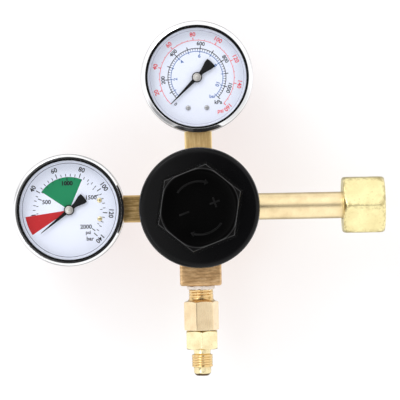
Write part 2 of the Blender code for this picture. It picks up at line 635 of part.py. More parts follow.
def build_gauge(centre, side, at, turn):
    gauge = axis(f"{side}_gauge", centre, at, turn)
    build_case(gauge, side)
    build_socket(gauge, side)
    build_movement(gauge, side)
    build_pointer(gauge, side)
    tape_low = GAUGE_REACH - PORT_REACH - 2.2
    tube(f"{side}_thread_tape", 7.0, 6.7, tape_low, tape_low + 1.9, gauge, turn=DOWN, skin=TAPE, steps=20)


regulator = axis("regulator_centre", at=(-INLET_REACH, 0, 0))
build_body(regulator)
build_valve(regulator)
build_diaphragm(regulator)
build_bonnet(regulator)
build_adjuster(regulator)
build_inlet(regulator)
build_outlet(regulator)
build_relief(regulator)
build_gauge(regulator, "low", (0, 0, GAUGE_REACH), UP)
build_gauge(regulator, "high", (-GAUGE_REACH, 0, 0), (0, math.radians(-90), 0))
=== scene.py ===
"""Looks of the two-gauge carbon dioxide regulator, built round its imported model.

Lengths are in millimetres unless a name says otherwise, and MM turns them into metres. Most pieces are
turned shapes: a list of stations (radius, height) that lathe() spins about a piece's own +Z axis, with an
optional function that makes a station hexagonal or threaded instead of round. frame_of() says which way
that axis points. "Forward" is the distance from the plane of the ports towards the adjusting knob, along -Y.
"""

import math

import bmesh
import bpy
from mathutils import Matrix, Vector, noise
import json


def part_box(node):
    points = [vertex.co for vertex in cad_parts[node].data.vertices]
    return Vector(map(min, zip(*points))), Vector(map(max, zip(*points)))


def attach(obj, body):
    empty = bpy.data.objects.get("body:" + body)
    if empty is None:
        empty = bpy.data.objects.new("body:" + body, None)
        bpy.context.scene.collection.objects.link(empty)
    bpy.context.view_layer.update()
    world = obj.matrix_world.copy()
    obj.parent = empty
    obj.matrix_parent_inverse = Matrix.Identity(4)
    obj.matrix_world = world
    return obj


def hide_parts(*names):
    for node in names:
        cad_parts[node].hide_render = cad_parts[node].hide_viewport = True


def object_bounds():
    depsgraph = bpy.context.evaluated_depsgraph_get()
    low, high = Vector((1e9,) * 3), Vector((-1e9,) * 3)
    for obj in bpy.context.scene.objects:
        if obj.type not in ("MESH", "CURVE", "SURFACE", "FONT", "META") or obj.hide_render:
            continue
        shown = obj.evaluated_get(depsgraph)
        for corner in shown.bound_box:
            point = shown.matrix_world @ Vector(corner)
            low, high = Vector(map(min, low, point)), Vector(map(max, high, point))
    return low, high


MM = 0.001
TAU = 2 * math.pi

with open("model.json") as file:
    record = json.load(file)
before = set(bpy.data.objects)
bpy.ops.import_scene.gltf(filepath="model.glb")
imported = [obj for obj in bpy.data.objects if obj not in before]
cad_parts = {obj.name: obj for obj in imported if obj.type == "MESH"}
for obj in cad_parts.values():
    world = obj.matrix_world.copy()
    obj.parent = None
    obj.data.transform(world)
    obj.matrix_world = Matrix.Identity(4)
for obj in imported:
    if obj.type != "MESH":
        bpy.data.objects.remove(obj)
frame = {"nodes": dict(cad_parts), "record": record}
CAD_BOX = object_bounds()

NOISE_SEED = 1  # any fixed number: unless it is set, Blender seeds its vector noise from the clock
noise.seed_set(NOISE_SEED)

# ---------------------------------------------------------------- sizes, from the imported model


def low(node, axis):
    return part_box(node)[0]["xyz".index(axis)] / MM


def high(node, axis):
    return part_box(node)[1]["xyz".index(axis)] / MM


def middle(node, axis):
    return (low(node, axis) + high(node, axis)) / 2


def width(node, axis):
    return high(node, axis) - low(node, axis)


def turned(degrees, axis):
    return Matrix.Rotation(math.radians(degrees), 4, axis)


def moved(x, y, z):
    return Matrix.Translation(Vector((x, y, z)) * MM)


CENTRE_X = middle("bonnet", "x")
BONNET_R = width("bonnet", "x") / 2
BONNET_LOW = -high("bonnet", "y")
TURRET_TOP = -low("bonnet", "y")
BONNET_ROOF = TURRET_TOP - 4.0
KNOB_LOW = -high("adjusting_knob", "y")
KNOB_TOP = -low("adjusting_knob", "y")
BODY_BACK = -15.0
PORT_REACH = 25.0
BLOCK_FOOT = -low("regulator_body", "z")
NUT_FLATS = width("inlet_nut", "z")
FITTING_FLATS = width("outlet_fitting", "x")
GAUGE_R = width("low_bezel", "x") / 2
BEZEL_FRONT = -low("low_bezel", "y")
BEZEL_BACK = -high("low_bezel", "y")
CASE_R = width("low_gauge_case", "x") / 2
CASE_BACK = -high("low_gauge_case", "y")
CASE_FRONT = -low("low_gauge_case", "y")
DIAL_TOP = -low("low_dial", "y")
HUBS = {
    "low": (middle("low_bezel", "x"), middle("low_bezel", "z")),
    "high": (middle("high_bezel", "x"), middle("high_bezel", "z")),
}
STEM_TURN = {"low": 0.0, "high": -90.0}  # degrees about +Y that turn a stem from pointing down
REST = {"low": 225.0, "high": 218.7}  # the pointers at rest, degrees anticlockwise from +X

KNOB_SPIN = 50.9  # a flat's direction, degrees anticlockwise from +X
PIPE_R = 6.62  # the quarter inch pipe thread: its crest radius and pitch
PIPE_PITCH = 1.41
CORNER_STEPS = 4  # stretches that a rounded corner of a profile is made of
GUARD = 1.0  # how near an edge a long stretch gets an extra station

TURNS = {
    "front": turned(90, "X"),
    "back": turned(-90, "X"),
    "right": turned(90, "Y"),
    "left": turned(-90, "Y"),
    "up": Matrix.Identity(4),
    "down": turned(180, "X"),
}


def frame_of(turn, z=0.0):
    """A matrix on the regulator's centre line whose +Z points that way."""
    return moved(CENTRE_X, 0, z) @ TURNS[turn]


def upright_frame(side):
    """A gauge's frame seen from the front, with its +Y up whatever way the stem points."""
    return moved(HUBS[side][0], 0, HUBS[side][1]) @ TURNS["front"]


def gauge_frame(side, turn="front"):
    """The frame of one gauge at its hub, turned so that its stem points down in its own view."""
    return moved(HUBS[side][0], 0, HUBS[side][1]) @ turned(STEM_TURN[side], "Y") @ TURNS[turn]


# ---------------------------------------------------------------- making meshes


def link_object(name, data):
    made = bpy.data.objects.new(name, data)
    bpy.context.scene.collection.objects.link(made)
    return made


def finish_piece(name, mesh, matrix, skin, stands_for=None, sharp=32, body="regulator", slot=None):
    """Puts a mesh in the scene as a piece that rides a body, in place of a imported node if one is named."""
    mesh.shade_smooth()
    mesh.set_sharp_from_angle(angle=math.radians(sharp))
    mesh.materials.clear()
    mesh.materials.append(SKINS[skin])
    piece = link_object(name, mesh)
    piece.matrix_world = matrix
    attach(piece, body)
    if stands_for:
        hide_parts(stands_for)


def rounded(points, closed=False):
    """Rounds a profile's corners. A point is (radius, height), then its fillet and shape if it has them."""
    count = len(points)
    out = []
    for i, point in enumerate(points):
        r, h, fillet, shape = (*point, *(0, None)[len(point) - 2 :])
        if not fillet or (not closed and i in (0, count - 1)):
            out.append((r, h, shape))
            continue
        here = Vector((r, h))
        before = Vector(points[i - 1][:2]) - here
        after = Vector(points[(i + 1) % count][:2]) - here
        start = here + before.normalized() * min(fillet, before.length * 0.49)
        end = here + after.normalized() * min(fillet, after.length * 0.49)
        for step in range(CORNER_STEPS + 1):
            t = step / CORNER_STEPS
            spot = start * (1 - t) ** 2 + here * (2 * t * (1 - t)) + end * t**2
            out.append((spot.x, spot.y, shape))
    return guarded(out)


def guarded(stations):
    """Adds a station near each end of a long straight stretch, which keeps the lighter edges narrow: wear,
    and on the black plastic partly a painted highlight.
    """
    out = [stations[0]]
    for first, second in zip(stations, stations[1:]):
        across = Vector(second[:2]) - Vector(first[:2])
        if across.length > 3 * GUARD:
            share = GUARD / across.length
            for t in (share, 1 - share):
                spot = Vector(first[:2]) + across * t
                out.append((spot.x, spot.y, second[2] if first[2] else first[2]))
        out.append(second)
    return out


def even_angles(count):
    return [TAU * i / count for i in range(count)]


def hexagon_angles(spin, each):
    """Angles that crowd towards a hexagon's corners."""
    out = []
    for side in range(6):
        for i in range(each):
            share = math.sin(math.pi / 2 * (2 * i / each - 1))
            out.append(math.radians(spin + side * 60 + 30 * share))
    return out


def hexagonal(spin, flats, sharpness, taper=0.0, base=0.0):
    """A shape whose flats face spin + 60 k degrees, under a round crown. taper is flats lost per height."""

    def shape(angle, r, h):
        half = (flats - taper * (h - base)) / 2
        total = (1 / r) ** sharpness
        for side in range(6):
            facing = math.cos(angle - math.radians(spin + side * 60))
            if facing > 0.3:
                total += (facing / half) ** sharpness
        return total ** (-1 / sharpness)

    return shape


def chamfered(start, across, along, steps, side, power=1.0):
    """Stations of a cone that cuts a hexagon's corners, outwards from a start (radius, height)."""
    shares = [i / steps for i in range(steps + 1)]
    return [(start[0] + across * t, start[1] + along * t**power, 0, side) for t in shares]


def threaded(pitch, depth, start, end):
    """A screw thread between two heights, fading out at both."""

    def shape(angle, r, h):
        phase = (h / pitch - angle / TAU) % 1
        crest = min(abs(2 * phase - 1) * 1.5, 1)
        fade = min(max(min(h - start, end - h) / (pitch * 0.6), 0), 1)
        return r - depth * (1 - crest) * fade

    return shape


def thread_stations(r, start, end, pitch, depth):
    """Stations close enough for a thread, from the height start to end."""
    shape = threaded(pitch, depth, min(start, end), max(start, end))
    count = max(int(abs(end - start) / pitch * 8), 2)
    return [(r, start + (end - start) * i / count, 0, shape) for i in range(count + 1)]


def lathe_mesh(name, stations, angles, closed=False):
    """Spins stations about +Z into one closed mesh. An open profile starts and ends on the axis."""
    shape = bmesh.new()
    rings = []
    for r, h, bend in stations:
        if r < 1e-6:
            rings.append([shape.verts.new((0, 0, h * MM))])
            continue
        ring = []
        for angle in angles:
            reach = bend(angle, r, h) if bend else r
            spot = Vector((reach * math.cos(angle), reach * math.sin(angle), h)) * MM
            ring.append(shape.verts.new(spot))
        rings.append(ring)
    count = len(angles)
    for first, second in zip(rings, rings[1:] + rings[:1] if closed else rings[1:]):
        for i in range(count):
            j = i + 1
            around = ((first, i), (second, i), (second, j), (first, j))
            corners = list(dict.fromkeys(ring[k % len(ring)] for ring, k in around))
            if len(corners) > 2:
                shape.faces.new(corners)
    bmesh.ops.recalc_face_normals(shape, faces=shape.faces)
    return mesh_from(shape, name)


def mesh_from(shape, name):
    mesh = bpy.data.meshes.new(name)
    shape.to_mesh(mesh)
    shape.free()
    return mesh


def lathe(name, profile, matrix, skin, stands_for=None, closed=False, count=96, **finish):
    mesh = lathe_mesh(name, rounded(profile, closed), even_angles(count), closed)
    finish_piece(name, mesh, matrix, skin, stands_for, **finish)


def box_mesh(name, low_corner, high_corner, bevel=0.0):
    shape = bmesh.new()
    bmesh.ops.create_cube(shape, size=1)
    size = [(b - a) * MM for a, b in zip(low_corner, high_corner)]
    place = [(a + b) / 2 * MM for a, b in zip(low_corner, high_corner)]
    bmesh.ops.scale(shape, verts=shape.verts, vec=size)
    bmesh.ops.translate(shape, verts=shape.verts, vec=place)
    if bevel:
        edges = list(shape.edges)
        bmesh.ops.bevel(shape, geom=edges, offset=bevel * MM, segments=3, affect="EDGES", profile=0.5)
        broad = [face for face in shape.faces if face.calc_area() > (4 * MM) ** 2]
        bmesh.ops.inset_individual(shape, faces=broad, thickness=GUARD * MM)
    return mesh_from(shape, name)


def outline_mesh(name, loops, low_height, high_height, bevel=0.0):
    """A flat plate from outlines in millimetres: the first is its edge and the others are holes."""
    curve = bpy.data.curves.new(name, "CURVE")
    curve.dimensions = "2D"
    curve.fill_mode = "BOTH"
    curve.extrude = ((high_height - low_height) / 2 - bevel) * MM
    curve.bevel_depth = bevel * MM
    curve.bevel_resolution = 1
    curve.offset = -bevel * MM
    for loop in loops:
        spline = curve.splines.new("POLY")
        spline.points.add(len(loop) - 1)
        for point, (x, y) in zip(spline.points, loop):
            point.co = (x * MM, y * MM, 0, 1)
        spline.use_cyclic_u = True
    return evaluated_mesh(link_object(name, curve), (low_height + high_height) / 2)


def evaluated_mesh(source, lift=0.0):
    """The mesh of a curve or text object or one with modifiers, welded. The object is removed."""
    bpy.context.view_layer.update()
    graph = bpy.context.evaluated_depsgraph_get()
    mesh = bpy.data.meshes.new_from_object(source.evaluated_get(graph))
    bpy.data.objects.remove(source)
    shape = bmesh.new()
    shape.from_mesh(mesh)
    bmesh.ops.remove_doubles(shape, verts=shape.verts, dist=0.0005 * MM)
    bmesh.ops.translate(shape, verts=shape.verts, vec=(0, 0, lift * MM))
    return mesh_from(shape, mesh.name)


def placed(mesh, matrix):
    mesh.transform(matrix)
    return mesh


def joined(name, meshes):
    shape = bmesh.new()
    for mesh in meshes:
        shape.from_mesh(mesh)
    return mesh_from(shape, name)


def modified(mesh, *steps):
    """A mesh after modifiers, each given as (type, {setting: value})."""
    source = link_object("working", mesh)
    for kind, settings in steps:
        step = source.modifiers.new(kind.lower(), kind)
        for key, value in settings.items():
            setattr(step, key, value)
    return evaluated_mesh(source)


def drilled(mesh, *drills):
    """A mesh with holes, each given as a closed mesh in the same frame."""
    cutters = [link_object(f"drill_{index}", drill) for index, drill in enumerate(drills)]
    mesh = modified(mesh, *(("BOOLEAN", {"operation": "DIFFERENCE", "object": each}) for each in cutters))
    for spent in cutters:
        bpy.data.objects.remove(spent)
    return mesh


def drill_mesh(radius, start, end, count=20):
    """A plain cylinder from start to end along its own axis."""
    profile = rounded([(0, start), (radius, start), (radius, end), (0, end)])
    return lathe_mesh("drill", profile, even_angles(count))


def roughened(mesh, amount, scale):
    """Moves the points of a mesh by smooth noise, amount and the noise's grain in millimetres."""
    for vertex in mesh.vertices:
        vertex.co += noise.noise_vector(vertex.co / (scale * MM)) * amount * MM
    return mesh


def polar(radius, degrees):
    return radius * math.cos(math.radians(degrees)), radius * math.sin(math.radians(degrees))


def arc(radius, start, end, count):
    return [polar(radius, start + (end - start) * i / (count - 1)) for i in range(count)]


# ---------------------------------------------------------------- materials


def add_node(tree, kind, values=None, **settings):
    """A node with its settings, and with values or links for its inputs by name or number."""
    node = tree.nodes.new(kind)
    for key, value in settings.items():
        setattr(node, key, value)
    for key, value in (values or {}).items():
        if isinstance(value, bpy.types.NodeSocket):
            tree.links.new(value, node.inputs[key])
        else:
            node.inputs[key].default_value = value
    return node


def opaque(colour):
    return (*colour, 1) if isinstance(colour, tuple) else colour


def toned(colour, factor):
    return tuple(c * factor for c in colour)


class Nodes:
    """A short way to write a material."""

    def __init__(self, name):
        self.material = bpy.data.materials.new(name)
        self.material.use_nodes = True
        self.tree = self.material.node_tree
        self.shader = self.tree.nodes["Principled BSDF"]
        self.place = self.add("ShaderNodeTexCoord").outputs["Object"]

    def add(self, kind, values=None, **settings):
        return add_node(self.tree, kind, values, **settings)

    def noise(self, scale, detail=4, rough=0.5, where=None):
        values = {"Vector": where or self.place, "Scale": scale, "Detail": detail, "Roughness": rough}
        return self.add("ShaderNodeTexNoise", values).outputs["Fac"]

    def streaks(self, scale, detail, rough):
        """Noise with its own scale along each axis."""
        stretched = self.add("ShaderNodeMapping", {"Vector": self.place, "Scale": scale})
        return self.noise(1, detail, rough, stretched.outputs[0])

    def ramp(self, value, *stops):
        node = self.add("ShaderNodeValToRGB", {0: value})
        points = node.color_ramp.elements
        while len(points) < len(stops):
            points.new(0.5)
        for point, (where, colour) in zip(points, stops):
            point.position = where
            point.color = (*colour, 1) if isinstance(colour, tuple) else (colour, colour, colour, 1)
        return node.outputs["Color"]

    def mix(self, amount, first, second, blend="MIX"):
        values = {"Factor": amount, 6: opaque(first), 7: opaque(second)}
        return self.add("ShaderNodeMix", values, data_type="RGBA", blend_type=blend).outputs[2]

    def between(self, value, low_value, high_value):
        values = {"Value": value, "To Min": low_value, "To Max": high_value}
        return self.add("ShaderNodeMapRange", values).outputs[0]

    def edges(self, low_value=0.52, high_value=0.62):
        """White along convex edges."""
        sharp = self.add("ShaderNodeNewGeometry").outputs["Pointiness"]
        return self.ramp(sharp, (low_value, 0.0), (high_value, 1.0))

    def creases(self, most):
        """White in concave creases, up to a most."""
        sharp = self.add("ShaderNodeNewGeometry").outputs["Pointiness"]
        return self.ramp(sharp, (0.42, most), (0.495, 0.0))

    def band(self, start, end):
        """One between two heights in millimetres, fading to nothing within a quarter of a millimetre."""
        half = (end - start) / 2
        height = self.add("ShaderNodeSeparateXYZ", {0: self.place}).outputs["Z"]
        apart = self.add("ShaderNodeMath", {0: height, 1: (start + end) / 2 * MM}, operation="SUBTRACT")
        size = self.add("ShaderNodeMath", {0: apart.outputs[0]}, operation="ABSOLUTE").outputs[0]
        values = {"Value": size, "From Min": half * MM, "From Max": (half + 0.25) * MM}
        return self.add("ShaderNodeMapRange", {**values, "To Min": 1.0, "To Max": 0.0}).outputs[0]

    def finish(self, base, uneven, roughness, *bumps, **values):
        """Links the colour, a roughness that follows an uneven pattern and bumps (height, depth in mm)."""
        self.tree.links.new(base, self.shader.inputs["Base Color"])
        self.tree.links.new(self.between(uneven, *roughness), self.shader.inputs["Roughness"])
        normal = None
        for height, depth in bumps:
            bump = {"Height": height, "Distance": depth * MM}
            if normal:
                bump["Normal"] = normal
            normal = self.add("ShaderNodeBump", bump).outputs["Normal"]
        if normal:
            self.tree.links.new(normal, self.shader.inputs["Normal"])
        return self.set(**values)

    def set(self, **values):
        for socket in self.shader.inputs:
            key = socket.name.lower().replace(" ", "_")
            if key in values:
                socket.default_value = values[key]
        return self.material


ALONG = {"x": (60, 9000, 9000), "z": (9000, 9000, 60), None: (2500, 2500, 2500)}  # machining marks


def brass(name, colour, dull, roughness, along=None, grain=0.003, spots=0.3, scuffs=0.0, crease_darkening=0.8, painted_shade_bands=()):
    """Brass with clouds of tarnish, dark specks, darker concave creases and machining marks along an axis.

    painted_shade_bands are (start, end, colour): between those heights in millimetres the brass has another
    colour, a painted shade in thread grooves or at a nose's tip.
    """
    made = Nodes(name)
    clouds = made.ramp(made.noise(130, 5, 0.6), (0.35, 0.0), (0.72, 1.0))
    specks = made.ramp(made.noise(900, 3, 0.7), (0.60, 0.0), (0.70, spots))
    base = made.mix(clouds, colour, tuple(a * 0.55 + b * 0.45 for a, b in zip(colour, dull)))
    base = made.mix(specks, base, dull)
    # Painted shade between the heights of each band.
    for start, end, shade in painted_shade_bands:
        base = made.mix(made.band(start, end), base, shade)
    base = made.mix(made.edges(), base, tuple(min(c * 1.12, 1) for c in colour))
    # Darker in concave creases.
    base = made.mix(made.creases(crease_darkening), base, toned(dull, 0.5))
    knocks = made.ramp(made.noise(420, 4, 0.7), (0.44, 0.0), (0.54, scuffs))
    knocks = made.mix(1.0, knocks, made.edges(0.502, 0.515), "MULTIPLY")
    base = made.mix(knocks, base, toned(dull, 0.6))
    marks = made.streaks(ALONG[along], 2, 0.6)
    return made.finish(base, marks, roughness, (marks, grain), (clouds, grain * 2), metallic=1.0)


def forged_brass():
    """Dull brown brass, sawn or forged, with streaks across and brighter rubbed edges."""
    made = Nodes("forged_brass_rough")
    streaks = made.streaks((170, 170, 900), 6, 0.65)
    clouds = made.noise(220, 5, 0.6)
    tones = ((0.30, (0.32, 0.18, 0.075)), (0.52, (0.62, 0.39, 0.19)), (0.72, (0.84, 0.60, 0.35)))
    base = made.ramp(streaks, *tones)
    base = made.mix(made.ramp(clouds, (0.45, 0.0), (0.75, 0.6)), base, (0.40, 0.24, 0.11))
    base = made.mix(made.edges(0.51, 0.60), base, (0.92, 0.72, 0.45))
    fine = made.noise(1600, 3, 0.6)
    return made.finish(base, clouds, (0.32, 0.58), (streaks, 0.12), (fine, 0.05), metallic=1.0)


def brushed_brass(name, dark, light):
    """Tan brass bar, brushed along its length."""
    made = Nodes(name)
    brushing = made.streaks((2600, 2600, 120), 4, 0.6)
    base = made.ramp(brushing, (0.38, dark), (0.62, light))
    base = made.mix(made.ramp(made.noise(240, 4, 0.6), (0.45, 0.0), (0.7, 0.7)), base, dark)
    base = made.mix(made.edges(), base, light)
    return made.finish(base, brushing, (0.38, 0.60), (brushing, 0.03), metallic=1.0)


def black_plastic(name, tint, roughness, grain, gloss, edge_wear_and_highlight):
    """Moulded black plastic with a fine grain, faint flow marks and lighter edges: partly rubbed wear, partly
    a painted highlight.
    """
    made = Nodes(name)
    flow = made.streaks((60, 60, 140), 4, 0.5)
    base = made.mix(flow, toned(tint, 0.7), toned(tint, 1.5))
    # Lighter convex edges: rubbed wear, and a painted highlight along the knob's and the bonnet's rims.
    base = made.mix(made.edges(0.515, 0.58), base, (edge_wear_and_highlight, edge_wear_and_highlight, edge_wear_and_highlight))
    bumps = ((made.noise(4200, 2, 0.5), grain), (flow, grain * 3))
    return made.finish(base, flow, roughness, *bumps, specular_ior_level=gloss)


def chrome(name, dark, light, roughness):
    """Polished plate with hairline scratches and a little haze."""
    made = Nodes(name)
    lines = made.streaks((4000, 300, 4000), 3, 0.7)
    base = made.mix(made.noise(160, 4, 0.6), dark, light)
    return made.finish(base, lines, roughness, (lines, 0.0015), metallic=1.0)


def steel(name, colour, roughness):
    made = Nodes(name)
    marks = made.streaks((3000, 900, 3000), 4, 0.6)
    base = made.mix(made.noise(300, 4, 0.6), toned(colour, 0.82), colour)
    return made.finish(base, marks, roughness, (marks, 0.006), metallic=1.0)


def dial_white():
    """Matt white enamel, a little blue, with a faint mottle."""
    made = Nodes("dial_enamel")
    mottle = made.noise(420, 4, 0.6)
    base = made.mix(mottle, (0.80, 0.845, 0.985), (0.835, 0.875, 1.0))
    broad = made.ramp(made.noise(28, 2, 0.5), (0.4, 0.0), (0.8, 0.35))
    base = made.mix(broad, base, (0.86, 0.88, 0.985))
    fine = made.noise(5200, 2, 0.5)
    return made.finish(base, mottle, (0.42, 0.55), (fine, 0.002), specular_ior_level=0.2)


def ink(name, colour):
    """Screen-printed ink, slightly uneven."""
    made = Nodes(name)
    uneven = made.noise(2600, 3, 0.6)
    base = made.mix(uneven, colour, tuple(min(c * 1.3 + 0.004, 1) for c in colour))
    return made.finish(base, uneven, (0.4, 0.6), specular_ior_level=0.04)


def clear_lens():
    """Clear moulded lens with the faintest haze."""
    made = Nodes("clear_lens_plastic")
    haze = made.noise(60, 3, 0.5)
    made.material.surface_render_method = "BLENDED"
    base = made.mix(haze, (0.96, 0.98, 1.0), (1.0, 1.0, 1.0))
    return made.finish(base, haze, (0.01, 0.04), alpha=0.005, ior=1.5)


def soft_matter(name, colour, roughness, grain=0.02, **values):
    """Rubber, nylon or grains: a fine uneven surface with patches of tone."""
    made = Nodes(name)
    patches = made.noise(260, 4, 0.6)
    base = made.mix(patches, toned(colour, 0.84), colour)
    return made.finish(base, patches, roughness, (made.noise(1500, 4, 0.6), grain), **values)


def wound_tape():
    """White tape wound in thin layers, stained a little by the brass."""
    made = Nodes("wound_thread_tape")
    layers = made.streaks((300, 300, 5200), 3, 0.6)
    stains = made.ramp(made.noise(500, 4, 0.6), (0.5, 0.0), (0.75, 0.6))
    base = made.mix(stains, (0.86, 0.80, 0.74), (0.62, 0.47, 0.34))
    return made.finish(base, layers, (0.4, 0.7), (layers, 0.06))


FITTING = ((0.97, 0.86, 0.54), (0.52, 0.35, 0.14))
# Painted shade: a tan tone on the threads for the shade in their grooves, and a near-black ring at the
# flare's nose for the shadow of its bore.
THREAD_PAINTED_SHADE = (0.80, 0.56, 0.26)
CHECK_PAINTED_SHADE = ((30.0, 47.9, THREAD_PAINTED_SHADE),)
FLARE_PAINTED_SHADE = ((75.4, 82.2, THREAD_PAINTED_SHADE), (85.7, 87.5, (0.12, 0.07, 0.03)))

SKINS = {
    "forged": forged_brass(),
    # The upright and the lying socket bar are one brushed brass; the lying bar's darker copy is painted
    # shade.
    "bar_pale": brushed_brass("brushed_brass_upright", (0.76, 0.50, 0.21), (0.98, 0.76, 0.39)),
    "bar_dark": brushed_brass("brushed_brass_lying", (0.22, 0.135, 0.045), (0.66, 0.46, 0.21)),
    "nipple": brass("nipple_brass", (0.97, 0.80, 0.49), (0.55, 0.38, 0.18), (0.27, 0.38), "x", 0.004, 0.25),
    "nut": brass("nut_brass", (0.96, 0.87, 0.48), (0.62, 0.47, 0.20), (0.26, 0.42), None, 0.010, 0.55, 0.6),
    "fitting": brass("fitting_brass", *FITTING, (0.16, 0.28), crease_darkening=0.5),
    "flare": brass("flare_fitting_brass", *FITTING, (0.18, 0.30), crease_darkening=0.6, painted_shade_bands=FLARE_PAINTED_SHADE),
    "valve": brass(
        "check_valve_brass", (0.93, 0.75, 0.49), (0.55, 0.37, 0.18), (0.22, 0.34), "z",
        crease_darkening=0.25, painted_shade_bands=CHECK_PAINTED_SHADE,
    ),
    "inner": brass("inner_brass", (0.78, 0.58, 0.27), (0.45, 0.30, 0.12), (0.18, 0.34), None, 0.012, 0.5),
    # The last number of each black plastic lightens its edges: rubbed wear, and on the knob mostly a painted
    # highlight round its face.
    "bonnet": black_plastic("bonnet_plastic", (0.0030, 0.0030, 0.0034), (0.14, 0.20), 0.0012, 0.13, 0.04),
    "knob": black_plastic("knob_plastic", (0.0014, 0.0014, 0.0014), (0.15, 0.22), 0.0014, 0.06, 0.15),
    "knob_marks": black_plastic("knob_mark_plastic", (0.003, 0.003, 0.003), (0.2, 0.3), 0.0014, 0.10, 0.006),
    "chrome": chrome("polished_chrome", (0.80, 0.80, 0.82), (0.92, 0.92, 0.93), (0.035, 0.10)),
    "case": chrome("case_plate", (0.50, 0.50, 0.52), (0.60, 0.60, 0.62), (0.10, 0.20)),
    "steel": steel("plain_steel", (0.56, 0.56, 0.57), (0.2, 0.38)),
    "hub": steel("pointer_hub_metal", (0.62, 0.60, 0.57), (0.22, 0.4)),
    "dial": dial_white(),
    "pointer": ink("pointer_black", (0.003, 0.003, 0.004)),
    "print_black": ink("dial_print_black", (0.010, 0.010, 0.016)),
    "print_blue": ink("dial_print_blue", (0.05, 0.13, 0.36)),
    "print_red": ink("dial_print_red", (0.78, 0.07, 0.09)),
    "zone_green": ink("dial_zone_green", (0.010, 0.20, 0.085)),
    "zone_red": ink("dial_zone_red", (0.46, 0.020, 0.024)),
    # Painted shadow: grey inks for a ring printed at the dial's rim in place of the shadow line there.
    "seam_grey": ink("dial_seam_grey", (0.12, 0.12, 0.15)),
    "seam_pale": ink("dial_seam_pale", (0.42, 0.42, 0.50)),
    "lens": clear_lens(),
    "rubber": soft_matter("black_rubber", (0.004, 0.004, 0.005), (0.5, 0.75), specular_ior_level=0.08),
    "nylon": soft_matter("white_nylon", (0.85, 0.84, 0.78), (0.35, 0.5)),
    "tape": wound_tape(),
    "bronze": soft_matter("sintered_bronze_grain", (0.55, 0.38, 0.20), (0.6, 0.85), 0.08, metallic=1.0),
}

PRINTS = ("print_black", "print_blue", "print_red", "zone_green", "zone_red", "seam_grey", "seam_pale")

# The skins that go with each material slot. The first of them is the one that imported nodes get.
SLOT_SKINS = {
    "forged_brass": ("forged", "bar_pale", "bar_dark"),
    "brass": ("inner", "nipple", "nut", "fitting", "flare", "valve"),
    "chrome": ("chrome", "case"),
    "steel": ("steel", "hub"),
    "black_plastic": ("bonnet", "knob", "knob_marks"),
    "black_paint": ("pointer",),
    "dial_white": ("dial", *PRINTS),
    "clear_lens": ("lens",),
    "rubber": ("rubber",),
    "nylon": ("nylon",),
    "thread_tape": ("tape",),
    "sintered_bronze": ("bronze",),
}


def dress_cad_nodes():
    """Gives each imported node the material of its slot. Most of those that stay in sight are inside."""
    for entry in frame["record"]["subparts"]:
        node = frame["nodes"][entry["node"]]
        node.data.materials.clear()
        node.data.materials.append(SKINS[SLOT_SKINS[entry["material_slot"]][0]])


# ---------------------------------------------------------------- body


def body_casting():
    """The forging: its plain shapes are melted together so that every inner corner has a fillet."""
    voxel, half = 0.5, 10.7
    seat = high("regulator_body", "y")
    behind = frame_of("back", z=middle("relief_valve_body", "z"))
    core = [(0, 20.5), (25.6, 20.5), (25.6, 11.8), (21.3, 10.0)]
    core += [(21.3, BODY_BACK + 2), (19.2, BODY_BACK), (0, BODY_BACK)]
    boss = [(0, PORT_REACH - 0.9), (10.3, PORT_REACH - 0.9), (10.3, 12), (0, 12)]
    pad = [(0, seat), (7.3, seat), (7.3, 6), (0, 6)]
    shapes = [placed(lathe_mesh("core", rounded(core), even_angles(72)), frame_of("front"))]
    for turn in ("up", "left", "right"):
        shapes.append(placed(lathe_mesh("boss", rounded(boss), even_angles(48)), frame_of(turn)))
    shapes.append(placed(lathe_mesh("pad", rounded(pad), even_angles(40)), behind))
    block = box_mesh("block", (-half, -half, -BLOCK_FOOT), (half, half, -14), 0.9)
    shapes.append(placed(block, frame_of("up")))
    melted = modified(
        joined("regulator_body_forging", shapes),
        ("REMESH", {"mode": "VOXEL", "voxel_size": voxel * MM}),
        ("SMOOTH", {"factor": 0.5, "iterations": 5}),
    )
    roughened(melted, 0.05, 1.4)
    body = drilled(melted, placed(drill_mesh(4.7, 8.5, seat + 2, 36), behind))
    finish_piece("regulator_body_forging", body, Matrix.Identity(4), "forged", "regulator_body", 60)


def port_faces():
    """The machined ring at each port's mouth, with the first turns of its inner thread."""
    foot, bore = PORT_REACH - 1.4, 6.75
    profile = [(10.2, foot), (10.2, PORT_REACH, 0.5), (7.4, PORT_REACH, 0.25)]
    profile += [(bore, PORT_REACH - 0.7), (bore, foot)]
    for name, turn in (("top", "up"), ("left", "left"), ("right", "right")):
        lathe(f"port_face_{name}", profile, frame_of(turn), "inner", None, True, 72, slot="forged_brass")


# ---------------------------------------------------------------- bonnet and knob


